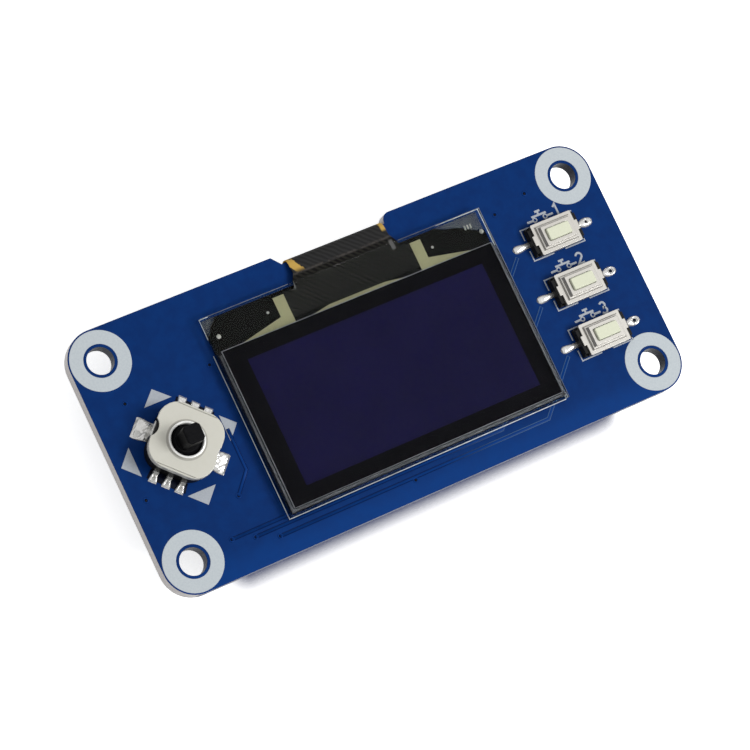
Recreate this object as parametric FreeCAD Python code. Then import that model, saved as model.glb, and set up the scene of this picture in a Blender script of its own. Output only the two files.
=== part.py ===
import FreeCAD, Part
import math
import os

from FreeCAD import Vector

# Millimetres. The origin is the centre of the four mounting holes on the underside of the board,
# +Z points out of the face with the display, +X runs along the long edge towards the keys.

# Board
board_length = 65.0
board_width = 30.0
board_thickness = 1.6
board_corner_radius = 3.5
hole_edge_distance = 3.5
hole_diameter = 3.0

# Notch in the long edge that lets the display ribbon reach the underside
notch_centre_x = 0.4
notch_floor_width = 12.9
notch_side_run = 0.9
notch_depth = 1.05

# Display panel, heights are stacked from the top of the board
panel_centre_x = -0.12
panel_edge_distance = 3.5
panel_length = 34.85
panel_width = 23.0
tape_thickness = 0.1
tape_margin = 2.5
back_glass_thickness = 0.55
seal_thickness = 0.05
front_glass_thickness = 0.6
polarizer_thickness = 0.2
glass_edge_chamfer = 0.06
ledge_depth = 4.05
polarizer_margin_x = 0.58
polarizer_margin_y = 0.75
polarizer_top_gap = 0.05
seal_margin = 0.3
picture_offset_x = 0.37
picture_bottom_margin = 2.5
picture_length = 29.42
picture_height = 14.7
picture_layer_thickness = 0.03

# Electrode strips and black coating behind the contact ledge
trace_thickness = 0.02
trace_arm_reach = 9.25
trace_edge_gap = 0.75
trace_foot_height = 1.1
trace_foot_reach = 14.6
trace_shelf_reach = 6.3
trace_shelf_height = 0.2
trace_gap = 0.02
centre_wedge_half_length = 6.1
centre_wedge_height = 0.42
coating_thickness = 0.32
coating_margin = 0.25
clear_corner_right_length = 5.4
clear_corner_right_height = 2.1
clear_corner_left_length = 1.5
clear_corner_left_height = 1.75

# Ribbon between the contact ledge and the underside
ribbon_thickness = 0.08
ribbon_bond_gap = 0.55
ribbon_bond_half_width = 7.9
ribbon_neck_gap = 0.65
ribbon_neck_half_width = 6.65
ribbon_taper_start = 0.2
ribbon_taper_step = 0.2
ribbon_waist_half_width = 6.0
ribbon_crease_reach = 0.8
ribbon_slope_drop = 0.2
ribbon_notch_gap = 0.25
ribbon_upper_bend = 0.8
ribbon_lower_bend = 0.3
ribbon_edge_clearance = 0.06
ribbon_lift_length = 1.55
ribbon_tail_length = 6.75
ribbon_tail_half_width = 5.8
ribbon_offset_x = 0.05
driver_length = 9.0
driver_width = 1.3
driver_height = 0.45
driver_notch_distance = 2.95
finger_count = 24
finger_pitch = 0.45
finger_width = 0.22
finger_length = 1.3
finger_height = 0.1

# Stick switch, a square body turned by 45 degrees
stick_y = 0.05
stick_turn = 45.0
stick_base_size = 7.0
stick_base_radius = 2.1
stick_floor = 0.5
stick_wall_top = 2.55
stick_cavity_radius = 2.9
stick_cover_size = 7.35
stick_cover_radius = 2.3
stick_plate_thickness = 0.25
stick_edge_chamfer = 0.06
stick_skirt_drop = 0.5
stick_skirt_clearance = 0.025
stick_window_width = 3.5
stick_scallop_radius = 1.35
stick_scallop_depth = 0.5
stick_bead_outer_radius = 2.02
stick_hole_radius = 1.725
stick_bead_straight = 0.15
stick_slit_offset = 3.44
stick_slit_width = 0.07
stick_slit_length = 4.4
stick_slit_depth = 0.12
pivot_height = 1.65
ring_outer_radius = 2.55
ring_inner_radius = 2.05
rocker_radius = 1.95
tilting_thickness = 0.6
pin_radius = 0.25
pin_reach = 3.25
pin_bore_depth = 3.35
cross_pin_radius = 0.2
cross_pin_reach = 2.45
pin_clearance = 0.02
shaft_size = 2.0
shaft_corner = 0.3
shaft_clearance = 0.03
shaft_bottom = 1.15
shaft_top = 5.8
shaft_top_chamfer = 0.15
stem_ball_radius = 1.88
stem_ball_low = 2.3
stem_ball_high = 2.98
nub_radius = 0.5
nub_reach = 0.73
centre_dome_radius = 1.3
centre_dome_height = 0.4
side_contact_radius = 0.38
side_contact_height = 0.5
side_contact_distance = 1.72
dome_sheet = 0.08
lead_pitch = 1.5
lead_width = 0.55
lead_thickness = 0.18
lead_exit_height = 0.75
lead_knee = 0.3
lead_tip = 4.75
lead_root = 0.35
anchor_width = 1.7
anchor_foot_width = 2.1
anchor_height = 2.2
anchor_tip = 5.05
solder_margin = 0.18
solder_reach = 0.25
solder_height = 0.36

# Three push keys in a column
key_offset_x = -0.33
key_middle_y = -0.41
key_pitch = 6.11
key_count = 3
key_base_length = 6.2
key_base_width = 3.3
key_base_top = 1.05
key_floor = 0.55
key_well_length = 4.4
key_well_width = 2.4
key_well_radius = 0.5
key_cover_length = 5.25
key_cover_width = 3.6
key_cover_thickness = 0.2
key_cover_corner = 0.15
key_side_thickness = 0.12
key_side_bottom = 0.3
key_tab_width = 1.1
key_tab_length = 0.3
key_hat_foot_length = 4.55
key_hat_foot_width = 2.85
key_hat_step_height = 1.5
key_hat_step_inset = 0.12
key_hat_top_length = 3.7
key_hat_top_width = 2.2
key_hat_top = 1.9
button_length = 2.9
button_width = 1.38
button_corner = 0.2
button_top = 2.2
button_gap = 0.05
button_flange_rim = 0.15
button_flange_thickness = 0.3
button_stop_gap = 0.02
button_nub_radius = 0.5
button_nub_gap = 0.02
key_dome_radius = 1.1
key_dome_height = 0.42
key_foot_width = 0.6
key_foot_thickness = 0.15
key_foot_root = 0.4
key_left_foot = 1.45
key_right_foot = 1.7
key_solder_height = 0.34
key_solder_left_reach = 2.12
key_solder_right_reach = 2.12
key_solder_wide = 0.48
key_solder_narrow = 0.24
key_dimple_radius = 0.17

# Socket strip on the underside
socket_columns = 20
socket_pitch = 2.54
socket_length = 51.0
socket_width = 5.0
socket_height = 5.0
socket_standoff = 0.3
socket_foot_length = 0.8
pocket_size = 0.95
pocket_mouth = 1.6
pocket_mouth_depth = 0.4
contact_seat_height = 4.3
contact_leaf_thickness = 0.12
contact_leaf_width = 0.7
contact_leaf_length = 3.2
contact_gap = 0.05
tail_thickness = 0.2
tail_width = 0.5
tail_reach = 3.3

# Small parts around the display supply on the underside
chip_length = 1.6
chip_width = 0.8
chip_cap_length = 0.3
capacitor_height = 0.8
resistor_height = 0.45
chip_row_start = 9.0
chip_row_y = 3.6
chip_pitch_x = 3.0
chip_pitch_y = 3.0
capacitor_places = ((0, 0), (1, 0), (2, 0), (3, 0), (4, 0), (5, 0))
resistor_places = ((0, 1), (1, 1), (6, 0), (6, 1))

# Places that follow from the sizes above
board_top = board_thickness
board_end_x = board_length / 2
board_edge_y = board_width / 2
hole_x = board_end_x - hole_edge_distance
hole_y = board_edge_y - hole_edge_distance
notch_floor_y = board_edge_y - notch_depth
tape_top = board_top + tape_thickness
back_glass_top = tape_top + back_glass_thickness
front_glass_bottom = back_glass_top + seal_thickness
front_glass_top = front_glass_bottom + front_glass_thickness
panel_left = panel_centre_x - panel_length / 2
panel_right = panel_centre_x + panel_length / 2
panel_top_y = board_edge_y - panel_edge_distance
panel_bottom_y = panel_top_y - panel_width
ledge_start_y = panel_top_y - ledge_depth
picture_centre_x = panel_centre_x + picture_offset_x
picture_centre_y = panel_bottom_y + picture_bottom_margin + picture_height / 2
ribbon_centre_x = notch_centre_x + ribbon_offset_x
ribbon_bond_y = ledge_start_y + ribbon_bond_gap
ribbon_neck_y = panel_top_y - ribbon_neck_gap
ribbon_crease_y = panel_top_y + ribbon_crease_reach
ribbon_outer_y = notch_floor_y + ribbon_notch_gap
ribbon_tail_end_y = notch_floor_y - ribbon_tail_length
stick_x = (panel_left - board_end_x) / 2
key_x = (panel_right + board_end_x) / 2 + key_offset_x
socket_y = -hole_y
z_axis = Vector(0, 0, 1)


def box(x0, x1, y0, y1, z0, z1):
    return Part.makeBox(x1 - x0, y1 - y0, z1 - z0, Vector(x0, y0, z0))


def centred_box(length, width, z0, z1, x=0.0, y=0.0):
    return box(x - length / 2, x + length / 2, y - width / 2, y + width / 2, z0, z1)


def prism(points, z0, z1):
    # An upright prism over a closed outline given as (x, y) pairs.
    corners = [Vector(x, y, z0) for x, y in points]
    face = Part.Face(Part.makePolygon(corners + corners[:1]))
    return face.extrude(Vector(0, 0, z1 - z0))


def rounded_outline(length, width, radius, z):
    # A rectangle with quarter-circle corners, centred on the origin.
    a = length / 2 - radius
    b = width / 2 - radius
    edges = []
    for index, (cx, cy) in enumerate(((a, b), (-a, b), (-a, -b), (a, -b))):
        start = index * 90.0
        edges.append(Part.makeCircle(radius, Vector(cx, cy, z), z_axis, start, start + 90.0))
    joined = []
    for index, arc in enumerate(edges):
        following = edges[(index + 1) % 4]
        joined.append(arc)
        joined.append(Part.makeLine(arc.Vertexes[-1].Point, following.Vertexes[0].Point))
    return Part.Wire(joined)


def rounded_prism(length, width, radius, z0, z1):
    return Part.Face(rounded_outline(length, width, radius, z0)).extrude(Vector(0, 0, z1 - z0))


def turned_profile(points):
    # A solid of revolution round the Z axis from (radius, z) pairs.
    corners = [Vector(r, 0, z) for r, z in points]
    face = Part.Face(Part.makePolygon(corners + corners[:1]))
    return face.revolve(Vector(0, 0, 0), z_axis, 360)


def rod(radius, start, end):
    direction = end.sub(start)
    return Part.makeCylinder(radius, direction.Length, start, direction)


def merged(shapes):
    return shapes[0].fuse(shapes[1:]).removeSplitter()


def frustum(low_radius, high_radius, z0, z1, sides):
    # A many-sided cone section: two regular outlines joined by flat faces.
    outlines = []
    for radius, z in ((low_radius, z0), (high_radius, z1)):
        corners = []
        for step in range(sides):
            angle = 2 * math.pi * step / sides
            corners.append(Vector(radius * math.cos(angle), radius * math.sin(angle), z))
        outlines.append(Part.makePolygon(corners + corners[:1]))
    return Part.makeLoft(outlines, True, True)


def dome(radius, height, sheet, z):
    # A shallow snap disc of even thickness: a flat crown and a sloping band down to its rim.
    crown = 0.45 * radius
    shell = frustum(radius, crown, z, z + height, 16)
    return shell.cut(frustum(radius - sheet, crown, z, z + height - sheet, 16))


# Board

def make_board():
    plate = rounded_prism(board_length, board_width, board_corner_radius, 0, board_top)
    edge = board_edge_y
    floor = notch_floor_y
    left = notch_centre_x - notch_floor_width / 2
    right = notch_centre_x + notch_floor_width / 2
    run = notch_side_run
    over = 1.0
    start = Vector(right, floor, 0)
    middle = Vector(right + 0.3 * run, floor + 0.7 * notch_depth, 0)
    end = Vector(right + run, edge, 0)
    corners = [end, Vector(right + run, edge + over, 0), Vector(left - run, edge + over, 0),
               Vector(left - run, edge, 0), Vector(left, floor, 0), start]
    outline = [Part.Arc(start, middle, end).toShape()]
    outline += [Part.makeLine(a, b) for a, b in zip(corners, corners[1:])]
    notch = Part.Face(Part.Wire(outline)).extrude(Vector(0, 0, board_thickness))
    cuts = [notch]
    for x in (-hole_x, hole_x):
        for y in (-hole_y, hole_y):
            cuts.append(rod(hole_diameter / 2, Vector(x, y, 0), Vector(x, y, board_top)))
    return plate.cut(cuts)


# Display

def make_tape():
    return box(panel_left + tape_margin, panel_right - tape_margin, panel_bottom_y + tape_margin,
               ledge_start_y - tape_margin, board_top, tape_top)


def make_back_glass():
    return box(panel_left, panel_right, panel_bottom_y, ledge_start_y, tape_top, back_glass_top)


def make_front_glass():
    glass = box(panel_left, panel_right, panel_bottom_y, panel_top_y,
                front_glass_bottom, front_glass_top)
    rim = [edge for edge in glass.Edges if edge.BoundBox.ZMin > front_glass_top - 1e-6]
    return glass.makeChamfer(glass_edge_chamfer, rim)


def make_polarizer():
    return box(panel_left + polarizer_margin_x, panel_right - polarizer_margin_x,
               panel_bottom_y + polarizer_margin_y, ledge_start_y - polarizer_top_gap,
               front_glass_top, front_glass_top + polarizer_thickness)


def make_picture_layer():
    return centred_box(picture_length, picture_height, front_glass_bottom - picture_layer_thickness,
                       front_glass_bottom, picture_centre_x, picture_centre_y)


def make_seal_frame():
    frame = box(panel_left + seal_margin, panel_right - seal_margin, panel_bottom_y + seal_margin,
                ledge_start_y, back_glass_top, front_glass_bottom)
    window = centred_box(picture_length, picture_height, back_glass_top, front_glass_bottom,
                         picture_centre_x, picture_centre_y)
    return frame.cut(window)


def make_electrode_strips():
    # Two mirrored L shapes with a tapering foot, and a flat double wedge between them.
    z0 = front_glass_bottom - trace_thickness
    foot = ledge_start_y + trace_foot_height
    top = panel_top_y - trace_edge_gap
    shelf = ribbon_neck_y - trace_shelf_height
    inner = ribbon_bond_half_width + trace_gap
    strips = []
    for side in (-1, 1):
        outline = [(trace_foot_reach, ledge_start_y + trace_gap), (trace_arm_reach, foot),
                   (trace_arm_reach, top), (trace_shelf_reach, top), (trace_shelf_reach, shelf),
                   (inner, shelf), (inner, ledge_start_y)]
        outline = [(picture_centre_x + side * x, y) for x, y in outline]
        strips.append(prism(outline, z0, front_glass_bottom))
    half = centre_wedge_half_length
    crest = ledge_start_y + centre_wedge_height
    wedge = [(-half, ledge_start_y), (half, ledge_start_y), (0.55 * half, crest), (-0.6 * half, crest)]
    wedge = [(picture_centre_x + x, y) for x, y in wedge]
    strips.append(prism(wedge, z0, front_glass_bottom))
    return strips


def make_contact_strips(ribbon):
    return Part.makeCompound([strip.cut(ribbon) for strip in make_electrode_strips()])


def wavy_corner(x, y, length, height):
    # A soft edge that cuts off the corner at (x, y): from height below it to length beside it.
    curve = Part.BSplineCurve()
    curve.interpolate([Vector(x + length * share, y - height * (1 - share + sway), 0)
                       for share, sway in ((0, 0), (0.25, 0.06), (0.5, -0.05), (0.8, 0.04), (1, 0))])
    return curve.toShape()


def make_ledge_coating():
    # The black coating leaves a clear corner with a soft, wavy outline at each end of the ledge.
    z1 = front_glass_bottom - ribbon_thickness
    left = panel_left + coating_margin
    right = panel_right - coating_margin
    top = panel_top_y - coating_margin
    low = ledge_start_y
    right_curve = wavy_corner(right, top, -clear_corner_right_length, clear_corner_right_height)
    left_curve = wavy_corner(left, top, clear_corner_left_length, clear_corner_left_height)
    corners = [Vector(left, top - clear_corner_left_height, 0), Vector(left, low, 0),
               Vector(right, low, 0), Vector(right, top - clear_corner_right_height, 0)]
    edges = [Part.makeLine(a, b) for a, b in zip(corners, corners[1:])]
    top_line = Part.makeLine(Vector(right - clear_corner_right_length, top, 0),
                             Vector(left + clear_corner_left_length, top, 0))
    face = Part.Face(Part.Wire(Part.__sortEdges__(edges + [right_curve, top_line, left_curve])))
    face.translate(Vector(0, 0, z1 - coating_thickness))
    return face.extrude(Vector(0, 0, coating_thickness))


def ribbon_side(offset):
    # One face of the ribbon seen along X, offset from its middle line: flat behind the ledge, a slope
    # down from the crease, round the notch, then flat on the underside.
    top_z = front_glass_bottom - ribbon_thickness / 2
    low_z = -ribbon_thickness / 2 - ribbon_edge_clearance
    upper = Vector(0, ribbon_outer_y - ribbon_upper_bend, top_z - ribbon_slope_drop - ribbon_upper_bend)
    lower = Vector(0, ribbon_outer_y - ribbon_lower_bend, low_z + ribbon_lower_bend)
    slant = math.atan2(ribbon_slope_drop, upper.y - ribbon_crease_y)

    def on_bend(centre, bend, angle):
        reach = bend + offset
        return Vector(0, centre.y + reach * math.cos(angle), centre.z + reach * math.sin(angle))

    upper_arc = [on_bend(upper, ribbon_upper_bend, angle)
                 for angle in (math.pi / 2 - slant, math.pi / 4, 0)]
    lower_arc = [on_bend(lower, ribbon_lower_bend, angle) for angle in (0, -math.pi / 4, -math.pi / 2)]
    flat_z = -ribbon_thickness / 2 - offset
    start = Vector(0, ribbon_bond_y, top_z + offset)
    crease = Vector(0, ribbon_crease_y, top_z + offset)
    lift_end = Vector(0, notch_floor_y - ribbon_lift_length, flat_z)
    return [Part.makeLine(start, crease), Part.makeLine(crease, upper_arc[0]),
            Part.Arc(*upper_arc).toShape(), Part.makeLine(upper_arc[2], lower_arc[0]),
            Part.Arc(*lower_arc).toShape(), Part.makeLine(lower_arc[2], lift_end),
            Part.makeLine(lift_end, Vector(0, ribbon_tail_end_y, flat_z))]


def make_ribbon():
    outer = ribbon_side(ribbon_thickness / 2)
    inner = ribbon_side(-ribbon_thickness / 2)
    ends = [Part.makeLine(outer[0].Vertexes[0].Point, inner[0].Vertexes[0].Point),
            Part.makeLine(outer[-1].Vertexes[-1].Point, inner[-1].Vertexes[-1].Point)]
    section = Part.Face(Part.Wire(Part.__sortEdges__(outer + inner + ends)))
    reach = 2 * ribbon_bond_half_width
    section.translate(Vector(-reach, 0, 0))
    band = section.extrude(Vector(2 * reach, 0, 0))
    beyond = ribbon_outer_y + 1.0
    steps = [(ribbon_neck_half_width, ribbon_neck_y),
             (ribbon_neck_half_width - ribbon_taper_step, panel_top_y + ribbon_taper_start),
             (ribbon_waist_half_width, ribbon_crease_y + ribbon_taper_start),
             (ribbon_waist_half_width, beyond)]
    bond = [(ribbon_bond_half_width, ribbon_bond_y), (ribbon_bond_half_width, ribbon_neck_y)]
    outline = [(picture_centre_x + x, y) for x, y in bond]
    outline += [(ribbon_centre_x + x, y) for x, y in steps]
    outline += [(ribbon_centre_x - x, y) for x, y in reversed(steps)]
    outline += [(picture_centre_x - x, y) for x, y in reversed(bond)]
    tail = ribbon_tail_half_width
    middle = board_top / 2
    upper = prism(outline, middle, front_glass_top)
    lower = box(ribbon_centre_x - tail, ribbon_centre_x + tail, 0, beyond, -board_top, middle)
    return band.common(upper.fuse(lower)).removeSplitter()


def make_driver_chip():
    chip = centred_box(driver_length, driver_width, -ribbon_thickness - driver_height,
                       -ribbon_thickness, ribbon_centre_x, notch_floor_y - driver_notch_distance)
    return chip


def make_ribbon_solder():
    # A row of soldered fingers across the end of the ribbon on the underside.
    fingers = []
    first = ribbon_centre_x - (finger_count - 1) * finger_pitch / 2
    for index in range(finger_count):
        x = first + index * finger_pitch
        fingers.append(box(x - finger_width / 2, x + finger_width / 2,
                           ribbon_tail_end_y, ribbon_tail_end_y + finger_length,
                           -ribbon_thickness - finger_height, -ribbon_thickness))
    return Part.makeCompound(fingers)


# Stick switch, drawn round its own axis with the board's top face at z = 0

def on_stick(shape):
    placed = shape.copy()
    placed.translate(Vector(stick_x, stick_y, board_top))
    return placed


def turned(shape):
    placed = shape.copy()
    placed.rotate(Vector(0, 0, 0), z_axis, stick_turn)
    return placed


def lead_profile(root, tip, height):
    # A gull-wing strip in the XZ plane, from the body wall down to its foot.
    wall = stick_base_size / 2
    t = lead_thickness
    top = height
    knee = wall + lead_knee
    return [(root, top - t), (root, top), (knee, top), (knee + t, top - t), (knee + t, t),
            (tip, t), (tip, 0.0), (knee, 0.0), (knee, top - t)]


def upright_strip(points, width):
    corners = [Vector(x, -width / 2, z) for x, z in points]
    face = Part.Face(Part.makePolygon(corners + corners[:1]))
    return face.extrude(Vector(0, width, 0))


def stick_leads():
    leads = []
    root = stick_base_size / 2 - lead_root
    for angle in (0, 180):
        for row in (-1, 0, 1):
            lead = upright_strip(lead_profile(root, lead_tip, lead_exit_height), lead_width)
            lead.translate(Vector(0, row * lead_pitch, 0))
            lead.rotate(Vector(0, 0, 0), z_axis, angle)
            leads.append(lead)
    return leads


def stick_anchors():
    anchors = []
    wall = stick_base_size / 2
    t = lead_thickness
    for angle in (90, 270):
        leg = box(wall, wall + t, -anchor_width / 2, anchor_width / 2, 0, anchor_height)
        foot = box(wall, anchor_tip, -anchor_foot_width / 2, anchor_foot_width / 2, 0, t)
        anchor = merged([leg, foot])
        anchor.rotate(Vector(0, 0, 0), z_axis, angle)
        anchors.append(anchor)
    return anchors


def make_stick_base():
    body = rounded_prism(stick_base_size, stick_base_size, stick_base_radius, 0, stick_wall_top)
    cavity = rod(stick_cavity_radius, Vector(0, 0, stick_floor), Vector(0, 0, stick_wall_top))
    body = body.cut([cavity] + stick_leads())
    body = turned(body)
    bores = []
    for side in (-1, 1):
        bores.append(rod(pin_radius + pin_clearance, Vector(0, 0, pivot_height),
                         Vector(side * pin_bore_depth, 0, pivot_height)))
    return on_stick(body.cut(bores))


def make_stick_cover():
    size = stick_cover_size
    radius = stick_cover_radius
    top = stick_wall_top + stick_plate_thickness
    shell = rounded_prism(size, size, radius, stick_wall_top - stick_skirt_drop, top)
    inner = stick_base_size + 2 * stick_skirt_clearance
    inner_radius = stick_base_radius + stick_skirt_clearance
    hollow = rounded_prism(inner, inner, inner_radius, 0, stick_wall_top)
    rim = [edge for edge in shell.Edges if edge.BoundBox.ZMin > top - 1e-6]
    shell = shell.makeChamfer(stick_edge_chamfer, rim).cut(hollow)
    wall = size / 2
    windows = []
    for side in (-1, 1):
        windows.append(centred_box(stick_window_width, 1.0, 0, stick_wall_top, 0, side * wall))
        windows.append(centred_box(stick_slit_width, stick_slit_length, top - stick_slit_depth,
                                   top + 0.1, side * stick_slit_offset, 0))
    deep = wall + stick_scallop_radius - stick_scallop_depth
    shallow = wall + stick_scallop_radius - stick_scallop_depth * 0.35
    windows.append(rod(stick_scallop_radius, Vector(0, deep, 0), Vector(0, deep, top + 1)))
    windows.append(rod(stick_scallop_radius, Vector(0, -shallow, 0), Vector(0, -shallow, top + 1)))
    shell = turned(shell.cut(windows))
    r0 = stick_hole_radius
    r1 = stick_bead_outer_radius
    straight = top + stick_bead_straight
    bead_radius = (r1 - r0) / 2
    bead_top = [(r0 + bead_radius * (1 - math.cos(math.radians(angle))),
                 straight + bead_radius * math.sin(math.radians(angle))) for angle in range(0, 181, 45)]
    bead = turned_profile([(r0, top - 0.1)] + bead_top + [(r1, top - 0.1)])
    hole = rod(r0, Vector(0, 0, 0), Vector(0, 0, top + 1))
    return on_stick(shell.cut(hole).fuse(bead).removeSplitter())


def make_tilt_ring():
    z0 = pivot_height - tilting_thickness / 2
    z1 = pivot_height + tilting_thickness / 2
    ring = rod(ring_outer_radius, Vector(0, 0, z0), Vector(0, 0, z1))
    pins = [rod(pin_radius, Vector(0, 0, pivot_height), Vector(side * pin_reach, 0, pivot_height))
            for side in (-1, 1)]
    hole = rod(ring_inner_radius, Vector(0, 0, z0), Vector(0, 0, z1))
    bores = [rod(cross_pin_radius + pin_clearance, Vector(0, 0, pivot_height),
                 Vector(0, side * pin_reach, pivot_height)) for side in (-1, 1)]
    return on_stick(ring.fuse(pins).cut([hole] + bores))


def shaft_prism(size, corner, z0, z1):
    h = size / 2
    c = h - corner
    outline = [(h, c), (c, h), (-c, h), (-h, c), (-h, -c), (-c, -h), (c, -h), (h, -c)]
    return prism(outline, z0, z1)


def make_rocker():
    z0 = pivot_height - tilting_thickness / 2
    z1 = pivot_height + tilting_thickness / 2
    disc = rod(rocker_radius, Vector(0, 0, z0), Vector(0, 0, z1))
    pins = [rod(cross_pin_radius, Vector(0, 0, pivot_height),
                Vector(0, side * cross_pin_reach, pivot_height)) for side in (-1, 1)]
    hole = shaft_prism(shaft_size + 2 * shaft_clearance, shaft_corner, z0, z1)
    return on_stick(disc.fuse(pins).cut(hole))


def make_stem():
    shaft = shaft_prism(shaft_size, shaft_corner, shaft_bottom, shaft_top)
    rim = [edge for edge in shaft.Edges if edge.BoundBox.ZMin > shaft_top - 1e-6]
    shaft = shaft.makeChamfer(shaft_top_chamfer, rim)
    centre = Vector(0, 0, pivot_height)
    ball = Part.makeSphere(stem_ball_radius, centre)
    ball = ball.common(centred_box(5.0, 5.0, stem_ball_low, stem_ball_high))
    nub = rod(nub_radius, Vector(0, 0, pivot_height - 2 * nub_reach), Vector(0, 0, pivot_height))
    nub = nub.common(Part.makeSphere(nub_reach, centre))
    return on_stick(merged([shaft, ball, nub]))


def make_centre_dome():
    return on_stick(dome(centre_dome_radius, centre_dome_height, dome_sheet, stick_floor))


def make_side_contacts():
    # Four springy contact buttons on the floor that the rocker comes down on when it tilts.
    radius = side_contact_radius
    buttons = []
    for x, y in ((1, 0), (0, 1), (-1, 0), (0, -1)):
        button = frustum(radius, 0.7 * radius, stick_floor, stick_floor + side_contact_height, 8)
        button.translate(Vector(x * side_contact_distance, y * side_contact_distance, 0))
        buttons.append(button)
    return on_stick(Part.makeCompound(buttons))


def make_stick_leads():
    return on_stick(turned(Part.makeCompound(stick_leads())))


def make_stick_anchors():
    return on_stick(turned(Part.makeCompound(stick_anchors())))


def clipped_rectangle(length, width, clip, z, x=0.0):
    # A rectangle with its corners cut off, centred on (x, 0).
    a = length / 2
    b = width / 2
    outline = [(a, b - clip), (a - clip, b), (clip - a, b), (-a, b - clip),
               (-a, clip - b), (clip - a, -b), (a - clip, -b), (a, clip - b)]
    corners = [Vector(x + px, py, z) for px, py in outline]
    return Part.makePolygon(corners + corners[:1])


def solder_mound(x0, x1, half_width, height):
    # A low mound over a foot: a pad outline that draws in towards a smaller top.
    length = x1 - x0
    middle = (x0 + x1) / 2
    sections = []
    for level, along, across in ((0.0, 1.0, 1.0), (0.55, 0.9, 0.72), (1.0, 0.72, 0.42)):
        width = 2 * half_width * across
        sections.append(clipped_rectangle(length * along, width, 0.25 * width, level * height, middle))
    return Part.makeLoft(sections, True, True)


def make_stick_solder():
    mounds = []
    wall = stick_base_size / 2 + lead_knee
    for angle in (0, 180):
        for row in (-1, 0, 1):
            mound = solder_mound(wall, lead_tip + solder_reach, lead_width / 2 + solder_margin,
                                 solder_height)
            mound.translate(Vector(0, row * lead_pitch, 0))
            mound.rotate(Vector(0, 0, 0), z_axis, angle)
            mounds.append(mound)
    for angle in (90, 270):
        mound = solder_mound(wall, anchor_tip + solder_reach,
                             anchor_foot_width / 2 + solder_margin, solder_height)
        mound.rotate(Vector(0, 0, 0), z_axis, angle)
        mounds.append(mound)
    metal = stick_leads() + stick_anchors()
    return on_stick(turned(Part.makeCompound([mound.cut(metal) for mound in mounds])))


# Keys, drawn round their own centre with the board's top face at z = 0

def on_key(shape, y):
    placed = shape.copy()
    placed.translate(Vector(key_x, y, board_top))
    return placed


def key_feet():
    # One flat foot at each end, let into the base; the right one is longer.
    end = key_base_length / 2
    feet = []
    for side, reach in ((-1, key_left_foot), (1, key_right_foot)):
        inner = side * (end - key_foot_root)
        outer = side * (end + reach)
        feet.append(box(min(inner, outer), max(inner, outer), -key_foot_width / 2,
                        key_foot_width / 2, 0, key_foot_thickness))
    return feet


def make_key_base():
    body = centred_box(key_base_length, key_base_width, 0, key_base_top)
    well = rounded_prism(key_well_length, key_well_width, key_well_radius, key_floor, key_base_top)
    notches = []
    for x in (-1, 1):
        for y in (-1, 1):
            notches.append(centred_box(0.5, 0.5, key_base_top - 0.35, key_base_top,
                                       x * (key_base_length / 2 - 0.05), y * key_base_width / 2))
    return body.cut([well] + notches + key_feet())


def rectangle(length, width, z):
    corners = [Vector(-length / 2, -width / 2, z), Vector(length / 2, -width / 2, z),
               Vector(length / 2, width / 2, z), Vector(-length / 2, width / 2, z)]
    return Part.makePolygon(corners + corners[:1])


def make_key_cover():
    t = key_cover_thickness
    flange_top = key_base_top + t
    flange = rounded_prism(key_cover_length, key_cover_width, key_cover_corner,
                           key_base_top, flange_top)
    inset = 2 * key_hat_step_inset
    low_slope = Part.makeLoft([rectangle(key_hat_foot_length, key_hat_foot_width, flange_top),
                               rectangle(key_hat_foot_length - inset, key_hat_foot_width - inset,
                                         key_hat_step_height)], True)
    high_slope = Part.makeLoft([rectangle(key_hat_foot_length - 2 * inset,
                                          key_hat_foot_width - 2 * inset, key_hat_step_height),
                                rectangle(key_hat_top_length, key_hat_top_width, key_hat_top)], True)
    hollow = Part.makeLoft([rectangle(key_hat_foot_length - t, key_hat_foot_width - t, key_base_top),
                            rectangle(key_hat_top_length - 2 * t, key_hat_top_width - 2 * t,
                                      key_hat_top - t)], True)
    tabs = centred_box(key_cover_length + 2 * key_tab_length, key_tab_width,
                       key_base_top, flange_top)
    sides = []
    for side in (-1, 1):
        y = side * (key_cover_width - key_side_thickness) / 2
        sides.append(centred_box(key_cover_length - 2 * key_cover_corner, key_side_thickness,
                                 key_side_bottom, key_base_top, 0, y))
    opening = rounded_prism(button_length + 2 * button_gap, button_width + 2 * button_gap,
                            button_corner, 0, key_hat_top + 1)
    cover = merged([flange, low_slope, high_slope, tabs] + sides)
    return cover.cut([hollow, opening])


def make_key_button():
    stop = key_hat_top - key_cover_thickness - button_stop_gap
    flange_low = stop - button_flange_thickness
    block = rounded_prism(button_length, button_width, button_corner, flange_low, button_top)
    rim = [edge for edge in block.Edges if edge.BoundBox.ZMin > button_top - 1e-6]
    block = block.makeChamfer(0.08, rim)
    flange = centred_box(button_length + 2 * button_flange_rim, button_width + 2 * button_flange_rim,
                         flange_low, stop)
    crest = key_floor + key_dome_height + button_nub_gap
    nub = centred_box(2 * button_nub_radius, 2 * button_nub_radius, crest, flange_low)
    return merged([block, flange, nub])


def make_key_dome():
    return dome(key_dome_radius, key_dome_height, dome_sheet, key_floor)


def teardrop(near, far, narrow, wide, z):
    # A pad outline along +X that starts narrow and ends in a blunt round tip.
    centre = far - wide
    outline = [(near, -narrow)]
    for step in range(7):
        angle = math.radians(-90 + 30 * step)
        outline.append((centre + wide * math.cos(angle), wide * math.sin(angle)))
    outline.append((near, narrow))
    corners = [Vector(x, y, z) for x, y in outline]
    return Part.makePolygon(corners + corners[:1])


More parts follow.
